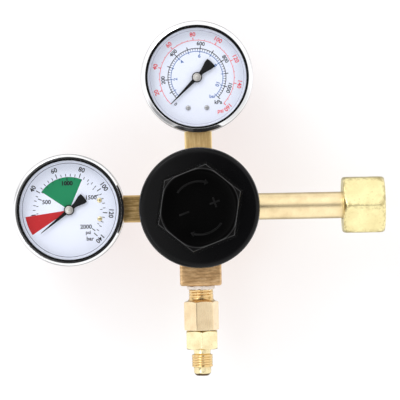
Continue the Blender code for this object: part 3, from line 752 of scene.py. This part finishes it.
def bonnet():
    turret, face = 16.0, 41.0
    hole, spring_bore, chamber, skirt = 4.7, 12.8, 22.0, 26.4
    clamp = 23.9  # the level of the ring that holds the diaphragm down
    profile = [
        (hole, TURRET_TOP - 0.2),
        (turret, TURRET_TOP - 0.2, 0.4),
        (turret, face, 0.8),
        (BONNET_R - 1.7, face - 0.9, 0.5),
        (BONNET_R - 0.45, face - 2.1, 0.5),
        (BONNET_R, face - 3.7, 0.9),
        (BONNET_R, BONNET_LOW + 3.0, 0.2),
        (BONNET_R - 0.4, BONNET_LOW + 2.6, 0.2),
        (BONNET_R - 0.4, BONNET_LOW, 0.4),
        (skirt, BONNET_LOW, 0.3),
        (skirt, clamp),
        (19.5, clamp),
        (chamber, clamp + 2.5),
        (chamber, 35.0),
        (spring_bore, 37.0),
        (spring_bore, BONNET_ROOF),
        (hole, BONNET_ROOF),
    ]
    centre = frame_of("front")
    lathe("bonnet_shell", profile, centre, "bonnet", "bonnet", closed=True, count=160, sharp=40)
    for name, start in (("left", -14.5), ("right", 11.6)):
        rib = box_mesh("rib", (start, -1.2, 36.0), (start + 2.9, 1.2, BONNET_ROOF + 1), 0.2)
        finish_piece(f"bonnet_rib_{name}", rib, centre, "bonnet")


def knob():
    """A tapered hexagon whose corners are cut away round its face, so that the face is round."""
    flats, top_flats = 41.0, 37.8
    crown, corner = 19.9, 24.3
    radius = 0.4  # of the edge between the face and the flats
    lip, face = KNOB_TOP - 0.05, KNOB_TOP - 0.2
    taper = (flats - top_flats) / (KNOB_TOP - KNOB_LOW)
    side = hexagonal(KNOB_SPIN, flats, 110, taper, KNOB_LOW)
    stations = [(0, face, None), (12, face, None), (17.0, face, None), (17.8, face + 0.1, None)]
    for step in range(5):
        turn = math.pi / 2 * step / 4
        r = crown - radius + radius * math.sin(turn) - 0.9 * (1 - math.sin(turn))
        stations.append((r, lip - radius * (1 - math.cos(turn)), side))
    cone = chamfered((crown, lip - radius), corner - crown, -2.5, 12, side, 1.15)
    stations += [(r, h, side) for r, h, _, _ in cone[1:]]
    stations += [(25.2, lip - radius - 3.5, side), (25.2, KNOB_LOW + 2.0, side), (25.2, KNOB_LOW + 0.5, side)]
    stations += [(24.9, KNOB_LOW + 0.15, side), (corner, KNOB_LOW, side)]
    stations += [(16.7, KNOB_LOW, None), (16.7, TURRET_TOP + 1.4, None), (0, TURRET_TOP + 1.4, None)]
    mesh = lathe_mesh("adjusting_knob_shell", stations, hexagon_angles(KNOB_SPIN, 22))
    finish_piece("adjusting_knob_shell", mesh, frame_of("front"), "knob", "adjusting_knob", 28, "knob")
    knob_marks(face)


def knob_marks(face):
    """Raised marks on the knob's face: a double arrow round the top and bottom, and plus and minus signs."""
    rise, tilt = 0.13, 19.4
    out, half, bar = 8.0, 0.45, 2.6  # a sign's distance from the middle, and its half width and half length
    marks = []
    for start, tip in ((tilt + 125, tilt + 58), (tilt - 55, tilt - 122)):
        marks.append(arc(13.6, start, tip, 20) + arc(12.6, tip, start, 20))
        marks.append([polar(14.6, tip), polar(13.1, tip - 8), polar(11.6, tip)])
    level = [(-bar, -half), (bar, -half), (bar, half), (-bar, half)]
    upright = [(-half, half), (half, half), (half, bar), (-half, bar)]
    below = [(-half, -bar), (half, -bar), (half, -half), (-half, -half)]
    for x, outline in ((-out, level), (out, level), (out, upright), (out, below)):
        marks.append(turned_points(outline, tilt, x))
    meshes = [outline_mesh("mark", [mark], face - 0.1, face + rise, 0.05) for mark in marks]
    mesh = joined("adjusting_knob_marks", meshes)
    finish_piece("adjusting_knob_marks", mesh, frame_of("front"), "knob_marks", body="knob")


def turned_points(points, degrees, shift):
    """Moves an outline along X by shift, then turns it about the origin."""
    c, s = polar(1, degrees)
    return [((x + shift) * c - y * s, (x + shift) * s + y * c) for x, y in points]


# ---------------------------------------------------------------- inlet


def inlet():
    bore, neck, flange = 2.9, 6.85, 9.2
    start = low("inlet_nipple", "x") - CENTRE_X
    end = high("inlet_nipple", "x") - CENTRE_X
    profile = [(bore, start), (6.2, start, 0.2)]
    profile += thread_stations(PIPE_R, start + 0.6, PORT_REACH + 3.0, PIPE_PITCH, 0.55)
    profile += [(neck, PORT_REACH + 4.2, 0.2), (neck, end - 5, 0.4), (flange, end - 5, 0.4)]
    profile += [(flange, end, 0.3), (bore, end)]
    lathe("inlet_nipple_turned", profile, frame_of("right"), "nipple", "inlet_nipple", True)
    face = high("inlet_washer", "x") - CENTRE_X
    washer = [(3.4, face - 1.8), (9.1, face - 1.8, 0.3), (9.1, face, 0.4), (3.4, face, 0.3)]
    lathe("inlet_washer_moulded", washer, frame_of("right"), "nylon", "inlet_washer", True, 72)
    inlet_nut()


def inlet_nut():
    back = low("inlet_nut", "x") - CENTRE_X
    front = high("inlet_nut", "x") - CENTRE_X
    spin, hole, counterbore, pitch = 2.0, 7.3, 10.1, 1.814
    side = hexagonal(spin, NUT_FLATS - 0.05, 30)
    corner = NUT_FLATS / math.sqrt(3)
    shoulder, cut = corner - 2.8, 3.2
    thread_end = front - 0.8
    thread_length = front - back - 7.0
    stations = [(hole, back), (corner - 3.4, back, 0, side)]
    stations += chamfered((shoulder, back + 0.02), cut, 1.9, 10, side, 1.2)
    for i in range(1, 12):
        stations.append((shoulder + cut, back + 1.92 + (front - back - 4.44) * i / 12, 0, side))
    stations += chamfered((shoulder, front - 0.02), cut, -2.5, 10, side, 1.2)[::-1]
    stations += [(r, front - 0.02) for r in (13.4, 13.1, 12.7, 12.3, 11.9, 11.6, 11.4, 11.2)]
    stations.append((10.5, front - 0.7))
    bore = threaded(pitch, -0.55, back + 6.2, thread_end)
    count = int(thread_length / pitch * 8)
    for i in range(count + 1):
        stations.append((9.65, thread_end - thread_length * i / count, 0, inward(bore)))
    stations += [(counterbore, back + 6.1), (counterbore, back + 4.95), (hole, back + 4.95)]
    mesh = lathe_mesh("inlet_nut_forged", rounded(stations, True), hexagon_angles(spin, 24), True)
    dented(mesh, 0.16, 2.2)
    finish_piece("inlet_nut_forged", mesh, frame_of("right"), "nut", "inlet_nut", 34, "inlet_nut")


def inward(shape):
    """Keeps an inner thread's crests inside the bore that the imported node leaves."""
    return lambda angle, r, h: min(shape(angle, r, h), 10.15)


def dented(mesh, amount, scale):
    """Small knocks, mostly inwards, that show on a nut's corners."""
    for vertex in mesh.vertices:
        across = Vector((vertex.co.x, vertex.co.y, 0))
        if across.length < 12 * MM:
            continue
        knock = max(noise.noise(vertex.co / (scale * MM)) - 0.1, 0)
        reach = max((across.length / MM - 13) / 3.5, 0)
        vertex.co -= across.normalized() * knock * amount * MM * (0.35 + 2.0 * reach)


# ---------------------------------------------------------------- outlet


def outlet():
    top = -high("outlet_thread_tape", "z")
    tape = [(6.5, top + 0.02), (7.05, top + 0.02, 0.2), (7.05, top + 1.0)]
    tape += [(6.95, top + 1.7, 0.2), (6.5, top + 1.75)]
    mesh = lathe_mesh("outlet_tape_wound", rounded(tape, True), even_angles(72), True)
    roughened(mesh, 0.4, 1.3)
    finish_piece("outlet_tape_wound", mesh, frame_of("down"), "tape", "outlet_thread_tape")
    check_valve()
    flare_fitting()


def check_valve():
    top = -high("check_valve_body", "z")
    foot = -low("check_valve_body", "z")
    shoulder, spin, corner = 48.4, 18.0, 9.4
    side = hexagonal(spin, FITTING_FLATS, 90)
    stations = [(0, top), (5.8, top, 0.3)]
    stations += thread_stations(6.3, top + 0.5, shoulder - 2.4, PIPE_PITCH, 0.36)
    stations += [(6.15, shoulder - 2.2), (6.35, shoulder - 1.2), (7.1, shoulder - 0.35)]
    stations.append((7.9, shoulder, 0, side))
    stations += chamfered((8.2, shoulder + 0.02), 1.2, 0.5, 6, side)
    stations += [(corner, h, 0, side) for h in (shoulder + 3, foot - 3, foot - 0.3)]
    stations += [(9.05, foot - 0.05, 0, side), (8.6, foot, 0, side)]
    stations += [(5.4, foot), (5.4, foot - 4), (0, foot - 4)]
    mesh = lathe_mesh("check_valve_turned", rounded(stations), hexagon_angles(spin, 16))
    finish_piece("check_valve_turned", mesh, frame_of("down"), "valve", "check_valve_body", 34)


def flare_fitting():
    top, foot, thread_end = 63.5, 73.1, 82.0
    nose = -low("outlet_fitting", "z")
    corner, neck, bore = 9.4, 4.45, 2.3
    side = hexagonal(0.0, FITTING_FLATS, 80)
    stations = [(0, top - 4), (5.1, top - 4), (5.1, top - 0.1), (7.0, top, 0, side)]
    stations += chamfered((7.7, top + 0.02), 1.7, 0.95, 8, side)
    stations += [(corner, top + 3, 0, side), (corner, foot - 3, 0, side)]
    stations += chamfered((7.7, foot - 0.02), 1.7, -0.95, 8, side)[::-1]
    stations += [(7.2, foot), (4.5, foot, 0.2), (4.25, foot + 2.2, 0.2), (4.6, foot + 2.6)]
    stations += thread_stations(5.4, foot + 2.8, thread_end, 1.27, 0.34)
    stations += [(4.6, thread_end + 0.3, 0.15), (neck, thread_end + 0.6), (neck, nose - 1.5, 0.25)]
    stations += [(3.4, nose - 0.3, 0.3), (3.0, nose, 0.1), (2.4, nose, 0.1)]
    stations += [(bore, nose - 0.4), (bore, nose - 20), (0, nose - 20)]
    mesh = lathe_mesh("flare_fitting_turned", rounded(stations), hexagon_angles(0.0, 16))
    finish_piece("flare_fitting_turned", mesh, frame_of("down"), "flare", "outlet_fitting", 34)


# ---------------------------------------------------------------- relief valve


def relief_valve():
    place = frame_of("back", z=middle("relief_valve_body", "z"))
    seat = high("regulator_body", "y")
    foot = low("relief_valve_body", "y")
    tail = high("relief_valve_body", "y")
    hex_end = seat + 5.8
    bore, mouth, neck, barrel, corner = 1.5, 3.2, 4.2, 4.55, 6.6
    side = hexagonal(0.0, 11.0, 80)
    stations = [(bore, foot)] + thread_stations(barrel, foot + 0.3, seat - 0.2, 1.0, 0.4)
    stations += [(5.4, seat + 0.3, 0, side), (corner, seat + 1.0, 0, side), (corner, hex_end - 1.0, 0, side)]
    stations += [(5.4, hex_end - 0.3, 0, side), (4.5, hex_end - 0.3, 0.2), (neck, hex_end + 0.6, 0.2)]
    stations += [(barrel, hex_end + 1.1, 0.1), (barrel, tail - 0.5, 0.3), (neck, tail, 0.2)]
    stations += [(mouth, tail, 0.15), (mouth, tail - 6), (bore, tail - 6)]
    mesh = lathe_mesh("relief_valve_turned", rounded(stations, True), hexagon_angles(0.0, 14), True)
    vents = []
    for turn in ("X", "Y"):
        vent = drill_mesh(0.9, -8, 8)
        vents.append(placed(vent, moved(0, 0, seat + 8.3) @ turned(90, turn)))
    finish_piece("relief_valve_turned", drilled(mesh, *vents), place, "fitting", "relief_valve_body", 34)
    relief_poppet(place)


def relief_poppet(place):
    start = low("relief_poppet", "y")
    end = high("relief_poppet", "y")
    eye = middle("relief_pull_ring", "y")
    stem = [
        (0, start),
        (2.8, start, 0.2),
        (2.8, start + 1.6, 0.2),
        (0.8, start + 1.6, 0.1),
        (0.8, eye - 2.2, 0.3),
        (1.2, eye - 1.6, 0.3),
        (1.6, eye, 0.5),
        (1.4, end - 0.4, 0.4),
        (0, end),
    ]
    lathe("relief_stem_turned", stem, place, "inner", "relief_poppet", count=40, body="relief_poppet")
    bottom, top = low("relief_cap", "y"), high("relief_cap", "y")
    cap = [(1.1, bottom), (2.95, bottom, 0.2), (2.95, top, 0.3), (1.1, top, 0.2)]
    lathe("relief_cap_turned", cap, place, "fitting", "relief_cap", True, 48)
    split_ring(eye)


def split_ring(eye):
    """The pull ring: a wire coiled nearly twice round, like a key ring, flattened to one wire's room."""
    radius = (width("relief_pull_ring", "x") - 0.95) / 2
    turns, apart, count = 1.9, 0.23, 96
    curve = bpy.data.curves.new("pull_ring_wire", "CURVE")
    curve.dimensions = "3D"
    curve.bevel_depth = 0.24 * MM
    curve.bevel_resolution = 3
    curve.use_fill_caps = True
    spline = curve.splines.new("POLY")
    spline.points.add(count)
    for i, point in enumerate(spline.points):
        x, z = polar(radius, 150 - turns * 360 * i / count)
        point.co = (x * MM, apart * math.tanh((i / count - 0.5) * 9) * MM, z * MM, 1)
    mesh = evaluated_mesh(link_object("working", curve))
    place = moved(CENTRE_X, eye, middle("relief_pull_ring", "z"))
    finish_piece("pull_ring_wire", mesh, place, "steel", "relief_pull_ring", 60, "pull_ring")


# ---------------------------------------------------------------- gauges


LIP_FLAT = {"low": 26.5, "high": 27.2}  # outer radius of the flat front of the bezel's lip
LIP_SEAL = {"low": 25.3, "high": 25.45}  # inner radius of the gasket behind the lens


def gauge_shell(side):
    place = gauge_frame(side)
    case = [
        (0, CASE_BACK + 1.0),
        (CASE_R - 1.0, CASE_BACK + 1.0),
        (CASE_R - 1.0, CASE_FRONT),
        (CASE_R, CASE_FRONT, 0.2),
        (CASE_R, CASE_BACK, 1.6),
        (CASE_R - 3.2, CASE_BACK, 0.2),
        (CASE_R - 3.8, CASE_BACK + 0.35, 0.2),
        (CASE_R - 8.0, CASE_BACK + 0.35, 0.2),
        (CASE_R - 8.6, CASE_BACK, 0.2),
        (0, CASE_BACK),
    ]
    lathe(f"{side}_case_shell", case, place, "case", f"{side}_gauge_case", count=128)
    flat, inner, outer = LIP_FLAT[side], 26.2, 27.5
    bezel = [
        (inner, BEZEL_FRONT - 1.4),
        (inner, BEZEL_FRONT),
        (flat, BEZEL_FRONT, 0.08),
        (flat + 0.1, BEZEL_FRONT - 0.04, 0.03),
        (28.3, BEZEL_FRONT - 0.75, 0.3),
        (28.6, BEZEL_FRONT - 1.7, 0.3),
        (GAUGE_R, BEZEL_FRONT - 3.0, 0.4),
        (GAUGE_R, BEZEL_BACK + 0.9, 0.3),
        (GAUGE_R - 0.5, BEZEL_BACK, 0.25),
        (outer, BEZEL_BACK, 0.1),
        (outer, BEZEL_FRONT - 1.6),
    ]
    lathe(f"{side}_bezel_rolled", bezel, place, "chrome", f"{side}_bezel", True, 160, sharp=50)
    bottom, top = -high(f"{side}_lens_gasket", "y"), -low(f"{side}_lens_gasket", "y")
    seal = LIP_SEAL[side]
    gasket = [(seal, bottom), (27.1, bottom, 0.2), (27.1, top, 0.2), (seal, top, 0.3)]
    lathe(f"{side}_gasket_moulded", gasket, place, "rubber", f"{side}_lens_gasket", True, 128)
    bottom, top = -high(f"{side}_lens", "y"), -low(f"{side}_lens", "y")
    lens = [(0, top), (26.1, top, 0.05), (26.15, top - 0.4), (27.0, top - 0.4, 0.1)]
    lens += [(27.0, bottom + 0.05, 0.1), (25.6, bottom + 0.05), (0, bottom + 0.2)]
    lathe(f"{side}_lens_clear", lens, place, "lens", f"{side}_lens", count=128)
    plug = [(0, CASE_BACK + 0.5), (5.2, CASE_BACK + 0.5), (5.2, CASE_BACK - 0.7, 0.3)]
    plug += [(3.4, CASE_BACK - 0.9, 0.2), (3.1, CASE_BACK - 0.4, 0.2), (0, CASE_BACK - 0.4)]
    lathe(f"{side}_vent_plug", plug, place @ moved(0, 12, 0), "rubber", count=48)


def gauge_socket(side):
    """The square bar with the wrench flats, its pipe thread and the tape on it."""
    x, z = HUBS[side]
    reach = abs(z) if side == "low" else abs(x - CENTRE_X)
    half, flats_end = 7, 38.2
    bar = box_mesh("bar", (-half, -half, -flats_end), (half, half, -26.0), 0.55)
    thread_end = reach - 12.6
    thread = [(0, flats_end - 1), (6.3, flats_end - 1)]
    thread += thread_stations(PIPE_R, flats_end, thread_end - 0.5, PIPE_PITCH, 0.5)
    thread += [(6.0, thread_end), (0, thread_end)]
    screw = lathe_mesh("screw", rounded(thread), even_angles(64))
    mesh = joined(f"{side}_socket_bar", [bar, placed(screw, TURNS["down"])])
    # The lying bar gets the darker copy of the brass: painted shade.
    skin = "bar_pale" if side == "low" else "bar_dark"
    finish_piece(f"{side}_socket_bar", mesh, gauge_frame(side, "up"), skin, f"{side}_gauge_socket", 34)
    start = reach - PORT_REACH - 2.3
    tape = [(6.55, start), (7.0, start + 0.1, 0.2), (6.95, start + 2.0, 0.2), (6.55, start + 2.1)]
    wound = lathe_mesh(f"{side}_tape_wound", rounded(tape, True), even_angles(64), True)
    roughened(wound, 0.12, 1.5)
    finish_piece(f"{side}_tape_wound", wound, gauge_frame(side, "down"), "tape", f"{side}_thread_tape")


def dial_plate(side):
    """The dial: a white disc with a raised rim, and its two screws."""
    step, rim = 24.4, 25.9
    back = DIAL_TOP - 0.5
    profile = [(0, DIAL_TOP), (step - 0.15, DIAL_TOP), (step + 0.05, DIAL_TOP + 0.7, 0.1)]
    profile += [(25.2, DIAL_TOP + 0.9, 0.15), (rim, DIAL_TOP + 0.9, 0.1), (rim, back, 0.1), (0, back)]
    lathe(f"{side}_dial_disc", profile, upright_frame(side), "dial", f"{side}_dial", count=160, sharp=40)
    stem = -90 if side == "low" else 0
    for name, offset in (("left", -17), ("right", 17)):
        place = upright_frame(side) @ moved(*polar(16.3, stem + offset), 0)
        dial_screw(f"{side}_dial_screw_{name}", place, "steel" if side == "low" else "fitting")


def dial_screw(node, place, skin):
    base = DIAL_TOP + 0.05
    head = [(0, base + 0.75), (0.9, base + 0.72, 0.3), (1.3, base + 0.3, 0.2), (1.3, base, 0.05), (0, base)]
    mesh = lathe_mesh(f"{node}_turned", rounded(head), even_angles(40))
    slot_cut = box_mesh("slot", (-2, -0.16, base + 0.45), (2, 0.16, base + 2))
    finish_piece(f"{node}_turned", drilled(mesh, slot_cut), place, skin, node, 40, slot="brass")


class Print:
    """Collects one colour of a dial's printing as thin raised shapes, with its angles in degrees."""

    def __init__(self, name, side, skin, layer=0):
        self.name, self.side, self.skin = name, side, skin
        self.low = DIAL_TOP - 0.02
        self.high = DIAL_TOP + 0.03 + layer * 0.02
        self.parts = []

    def shape(self, *loops):
        self.parts.append(outline_mesh("print", loops, self.low, self.high))

    def line(self, radius, start, end, thick):
        count = max(int(abs(start - end) / 4), 3)
        self.shape(arc(radius + thick / 2, start, end, count) + arc(radius - thick / 2, end, start, count))

    def tick(self, angle, inner, outer, thick):
        half = math.degrees(thick / (inner + outer))
        self.shape(arc(outer, angle - half, angle + half, 2) + arc(inner, angle + half, angle - half, 2))

    def scale(self, values, angle_of, step, major, minor):
        """A row of ticks, each (inner, outer, thick), with a major one at every whole step."""
        for value in values:
            self.tick(angle_of(value), *(minor if value % step else major))

    def wedge(self, radius, start, end):
        self.shape([(0, 0)] + arc(radius, start, end, 28))

    def text(self, words, radius, angle, size, turn=None, bold=0.022):
        """Words centred at a place on the dial. turn is their tilt, or they stand radially."""
        curve = bpy.data.curves.new("print_text", "FONT")
        curve.body = words
        curve.size = size * MM
        curve.align_x = "CENTER"
        curve.align_y = "CENTER"
        curve.offset = size * bold * MM
        curve.extrude = (self.high - self.low) / 2 * MM
        curve.resolution_u = 3
        mesh = evaluated_mesh(link_object("print_text", curve), (self.high + self.low) / 2)
        tilt = angle - 90 if turn is None else turn
        self.parts.append(placed(mesh, moved(*polar(radius, angle), 0) @ turned(tilt, "Z")))

    def numbers(self, values, angle_of, radius, size):
        for value in values:
            self.text(str(value), radius, angle_of(value), size)

    def finish(self):
        mesh = joined(self.name, self.parts)
        finish_piece(self.name, mesh, upright_frame(self.side), self.skin, sharp=30)


PSI_PER_KPA = 0.145038
PSI_PER_BAR = 14.5038


def low_dial_print():
    """Outlet gauge: psi outside in red, kPa in black and bar in blue on one linear sweep."""

    def psi(value):
        return 234.7 - 279.6 / 160 * value

    def kpa(value):
        return psi(value * PSI_PER_KPA)

    def bar(value):
        return kpa(value * 100)

    start, stop = 225.0, -45.0
    red = Print("low_dial_print_psi", "low", "print_red")
    red.line(19.1, start, stop, 0.26)
    red.scale(range(10, 161, 5), psi, 20, (19.1, 20.5, 0.4), (19.1, 19.7, 0.22))
    red.numbers(range(20, 161, 20), psi, 22.0, 3.0)
    red.text("psi", 21.0, -56, 2.8, 0)
    red.finish()

    black = Print("low_dial_print_kpa", "low", "print_black")
    black.line(14.9, start, stop + 1, 0.34)
    black.scale(range(60, 1101, 20), kpa, 100, (14.0, 16.2, 0.42), (14.0, 15.0, 0.3))
    black.numbers(range(200, 1001, 200), kpa, 17.3, 2.8)
    black.text("0", 17.4, 230.5, 2.3)
    black.text("kPa", 16.8, -50.5, 2.8, 0)
    black.finish()

    blue = Print("low_dial_print_bar", "low", "print_blue")
    blue.line(13.3, start, stop + 1, 0.3)
    blue.scale(range(60, 1101, 20), kpa, 100, (12.4, 13.9, 0.36), (13.2, 13.9, 0.22))
    blue.numbers(range(2, 11, 2), bar, 11.0, 2.7)
    blue.text("bar", 12.6, -52, 2.4, 0)
    blue.finish()


def high_dial_print():
    """Contents gauge: bar outside and psi inside, with a red and a green sector."""

    def bar(value):
        return 225.5 - 269.1 / 140 * value

    def psi(value):
        return bar(value / PSI_PER_BAR)

    green = Print("high_dial_zone_green", "high", "zone_green")
    green.wedge(17.0, 66.2, 145.6)
    green.finish()
    red = Print("high_dial_zone_red", "high", "zone_red")
    red.wedge(22.7, 187.9, 213.3)
    red.finish()

    black = Print("high_dial_print", "high", "print_black", 1)
    black.scale(range(20, 141, 4), bar, 20, (17.3, 19.6, 0.44), (17.3, 18.6, 0.34))
    black.numbers(range(40, 141, 20), bar, 21.5, 3.3)
    black.scale(range(300, 2001, 100), psi, 500, (15.0, 17.0, 0.42), (15.9, 17.0, 0.32))
    black.text("500", 12.3, 160.0, 3.0, 0)
    black.text("1000", 13.7, 94.0, 3.0, 0, 0.05)
    black.text("1500", 12.8, 29.0, 3.0, 0)
    black.text("2000", 12.2, -46.0, 3.0, 0)
    black.text("psi", 15.1, -50.5, 2.5, 0)
    black.text("bar", 18.2, -55.0, 2.8, 0)
    black.finish()


def dial_edge(side):
    """A fine grey ring printed where the dial meets its rim: a painted shadow line, paler on the low gauge.
    """
    painted_shadow = Print(f"{side}_dial_edge_seam", side, "seam_grey" if side == "high" else "seam_pale")
    painted_shadow.shape(arc(24.28, 0, 357, 120), arc(23.98, 0, 357, 120))
    painted_shadow.finish()


def pointer(side):
    """A needle with a flared tail, on a black ring and a silver boss."""
    tip, tail = (19.3, 10.8) if side == "low" else (18.7, 10.1)
    level = -high(f"{side}_pointer", "y") + 0.75
    spread = 15.0
    flare = [(-2.2, 0.95), (-4.0, 1.15), (-6.0, 1.75), (-8.0, 2.45)]
    end = arc(tail, 180 - spread, 180 + spread, 9)
    outline = [(tip, 0.14), (2.2, 0.95)] + flare + end
    outline += [(x, -y) for x, y in reversed(flare)] + [(2.2, -0.95), (tip, -0.14)]
    blade = outline_mesh("blade", [outline], level, level + 0.4, 0.06)
    collar = [(0, level + 0.75), (2.35, level + 0.75, 0.15), (2.65, level + 0.5, 0.2)]
    collar += [(2.65, level - 0.2), (0, level - 0.2)]
    ring = lathe_mesh("ring", rounded(collar), even_angles(64))
    needle = joined(f"{side}_pointer_blade", [blade, ring])
    place = upright_frame(side) @ turned(REST[side], "Z")
    body = f"{side}_pointer"
    finish_piece(f"{side}_pointer_blade", needle, place, "pointer", body, 34, body)
    boss = [(0, level + 1.25), (0.5, level + 1.28, 0.1), (0.7, level + 1.18), (1.9, level + 1.18, 0.2)]
    boss += [(2.15, level + 0.95, 0.15), (2.15, level + 0.7), (0, level + 0.7)]
    lathe(f"{side}_pointer_boss", boss, place, "hub", count=64, body=body)


def gauges():
    for side in ("low", "high"):
        gauge_shell(side)
        gauge_socket(side)
        dial_plate(side)
        dial_edge(side)
        pointer(side)
    low_dial_print()
    high_dial_print()


# ---------------------------------------------------------------- light, floor and camera


# Dim patches of the tent: direction, inner and outer angle in degrees, brightness inside the inner one.
DIM_PATCHES = (
    ((0.105, -1, 0.0), 9, 17.5, 0.02),
    ((0.7, -1, -0.5), 4, 24, 0.75),
    ((-0.75, -1, -0.75), 5, 20, 0.3),
    ((0, 1, 0.55), 18, 42, 0.4),
    ((0, 1, -0.55), 18, 42, 0.4),
    ((-1, 0, 0.35), 5, 18, 0.35),
    ((1, 0, 0.35), 5, 18, 0.35),
    ((0.35, 0, 1), 5, 18, 0.35),
    ((-0.35, 0.1, -1), 5, 18, 0.35),
)


def world_light():
    """A white tent with a dark patch round the camera and dimmer ones below it, behind and beside."""
    world = bpy.data.worlds.new("tent")
    bpy.context.scene.world = world
    world.use_nodes = True
    tree = world.node_tree
    direction = add_node(tree, "ShaderNodeTexCoord").outputs["Generated"]
    light = 1.2
    for vector, inner, outer, dim in DIM_PATCHES:
        aim = {0: direction, 1: Vector(vector).normalized()}
        dot = add_node(tree, "ShaderNodeVectorMath", aim, operation="DOT_PRODUCT").outputs["Value"]
        edge = {"From Min": math.cos(math.radians(inner)), "From Max": math.cos(math.radians(outer))}
        values = {"Value": dot, **edge, "To Min": dim, "To Max": 1.0}
        patch = add_node(tree, "ShaderNodeMapRange", values, interpolation_type="SMOOTHSTEP").outputs[0]
        light = add_node(tree, "ShaderNodeMath", {0: light, 1: patch}, operation="MULTIPLY").outputs[0]
    seen_by_camera = add_node(tree, "ShaderNodeLightPath").outputs["Is Camera Ray"]
    values = {"Factor": seen_by_camera, 2: light, 3: 1.0}
    strength = add_node(tree, "ShaderNodeMix", values, data_type="FLOAT").outputs[0]
    background = tree.nodes["Background"]
    background.inputs["Color"].default_value = (1, 1, 1, 1)
    tree.links.new(strength, background.inputs["Strength"])


def area_light(name, at, aim, size, power, colour=(1, 1, 1)):
    data = bpy.data.lights.new(name, "AREA")
    data.shape = "DISK"
    data.size = size
    data.energy = power
    data.color = colour
    lamp = link_object(name, data)
    lamp.location = at
    lamp.rotation_euler = (Vector(aim) - Vector(at)).to_track_quat("-Z", "Y").to_euler()


def pale_sheet():
    """Matt blue-grey with a painted pink glow, though it is no lamp, and clear when seen from behind."""
    made = Nodes("pale_sheet")
    tone = made.mix(made.noise(3, 3, 0.5), (0.35, 0.47, 0.49), (0.37, 0.49, 0.51))
    made.tree.links.new(tone, made.shader.inputs["Base Color"])
    # Painted light: the glow keeps the sheet white where lit, and with the blue-grey base its shadows come
    # out faintly pink.
    glow = (0.65, 0.51, 0.492, 1)
    made.set(roughness=0.9, specular_ior_level=0.0, emission_strength=1.0, emission_color=glow)
    behind = made.add("ShaderNodeNewGeometry").outputs["Backfacing"]
    clear = made.add("ShaderNodeBsdfTransparent").outputs[0]
    choose = made.add("ShaderNodeMixShader", {0: behind, 1: made.shader.outputs[0], 2: clear})
    made.tree.links.new(choose.outputs[0], made.tree.nodes["Material Output"].inputs["Surface"])
    return made.material


def studio():
    """A sheet that rises behind the object and runs forward below it. Its sizes are in metres."""
    wall = CAD_BOX[1].y + 0.004
    ground = CAD_BOX[0].z - 0.05
    bend, reach, steps = 0.04, 3.0, 8
    side_view = [(-reach, ground)]
    for i in range(steps + 1):
        y, z = polar(bend, -90 + 90 * i / steps)
        side_view.append((wall - bend + y, ground + bend + z))
    side_view.append((wall, reach))
    shape = bmesh.new()
    rows = [[shape.verts.new((x, y, z)) for x in (-reach, reach)] for y, z in side_view]
    for first, second in zip(rows, rows[1:]):
        shape.faces.new((first[0], first[1], second[1], second[0]))
    mesh = mesh_from(shape, "sheet")
    mesh.shade_smooth()
    mesh.materials.append(pale_sheet())
    sheet = link_object("sheet", mesh)
    for ray in ("visible_diffuse", "visible_glossy", "visible_transmission", "visible_shadow"):
        setattr(sheet, ray, False)


def camera():
    """Straight in front, from far enough away to look almost flat, and rolled by a degree."""
    distance = 1.25
    field = 0.2066  # metres across the picture in the plane of the ports
    data = bpy.data.cameras.new("camera")
    data.sensor_width = 36
    data.lens = data.sensor_width * distance / field
    data.clip_end = 20
    view = link_object("camera", data)
    aim = Vector((CENTRE_X + 0.35, 0, 3.9)) * MM
    place = Matrix.Translation(aim + Vector((0, -distance, 0)))
    view.matrix_world = place @ TURNS["front"] @ turned(-1.1, "Z")
    bpy.context.scene.camera = view


bpy.context.scene.view_settings.view_transform = "Standard"
camera()
world_light()
area_light("key", (-0.75, -1.0, 0.95), (-0.09, 0, 0), 0.7, 4)
area_light("low_left", (-0.62, -1.05, -0.35), (-0.09, 0, 0), 0.35, 1.2, (0.9, 0.94, 1.0))
studio()
dress_cad_nodes()
body_casting()
port_faces()
bonnet()
knob()
inlet()
outlet()
relief_valve()
gauges()
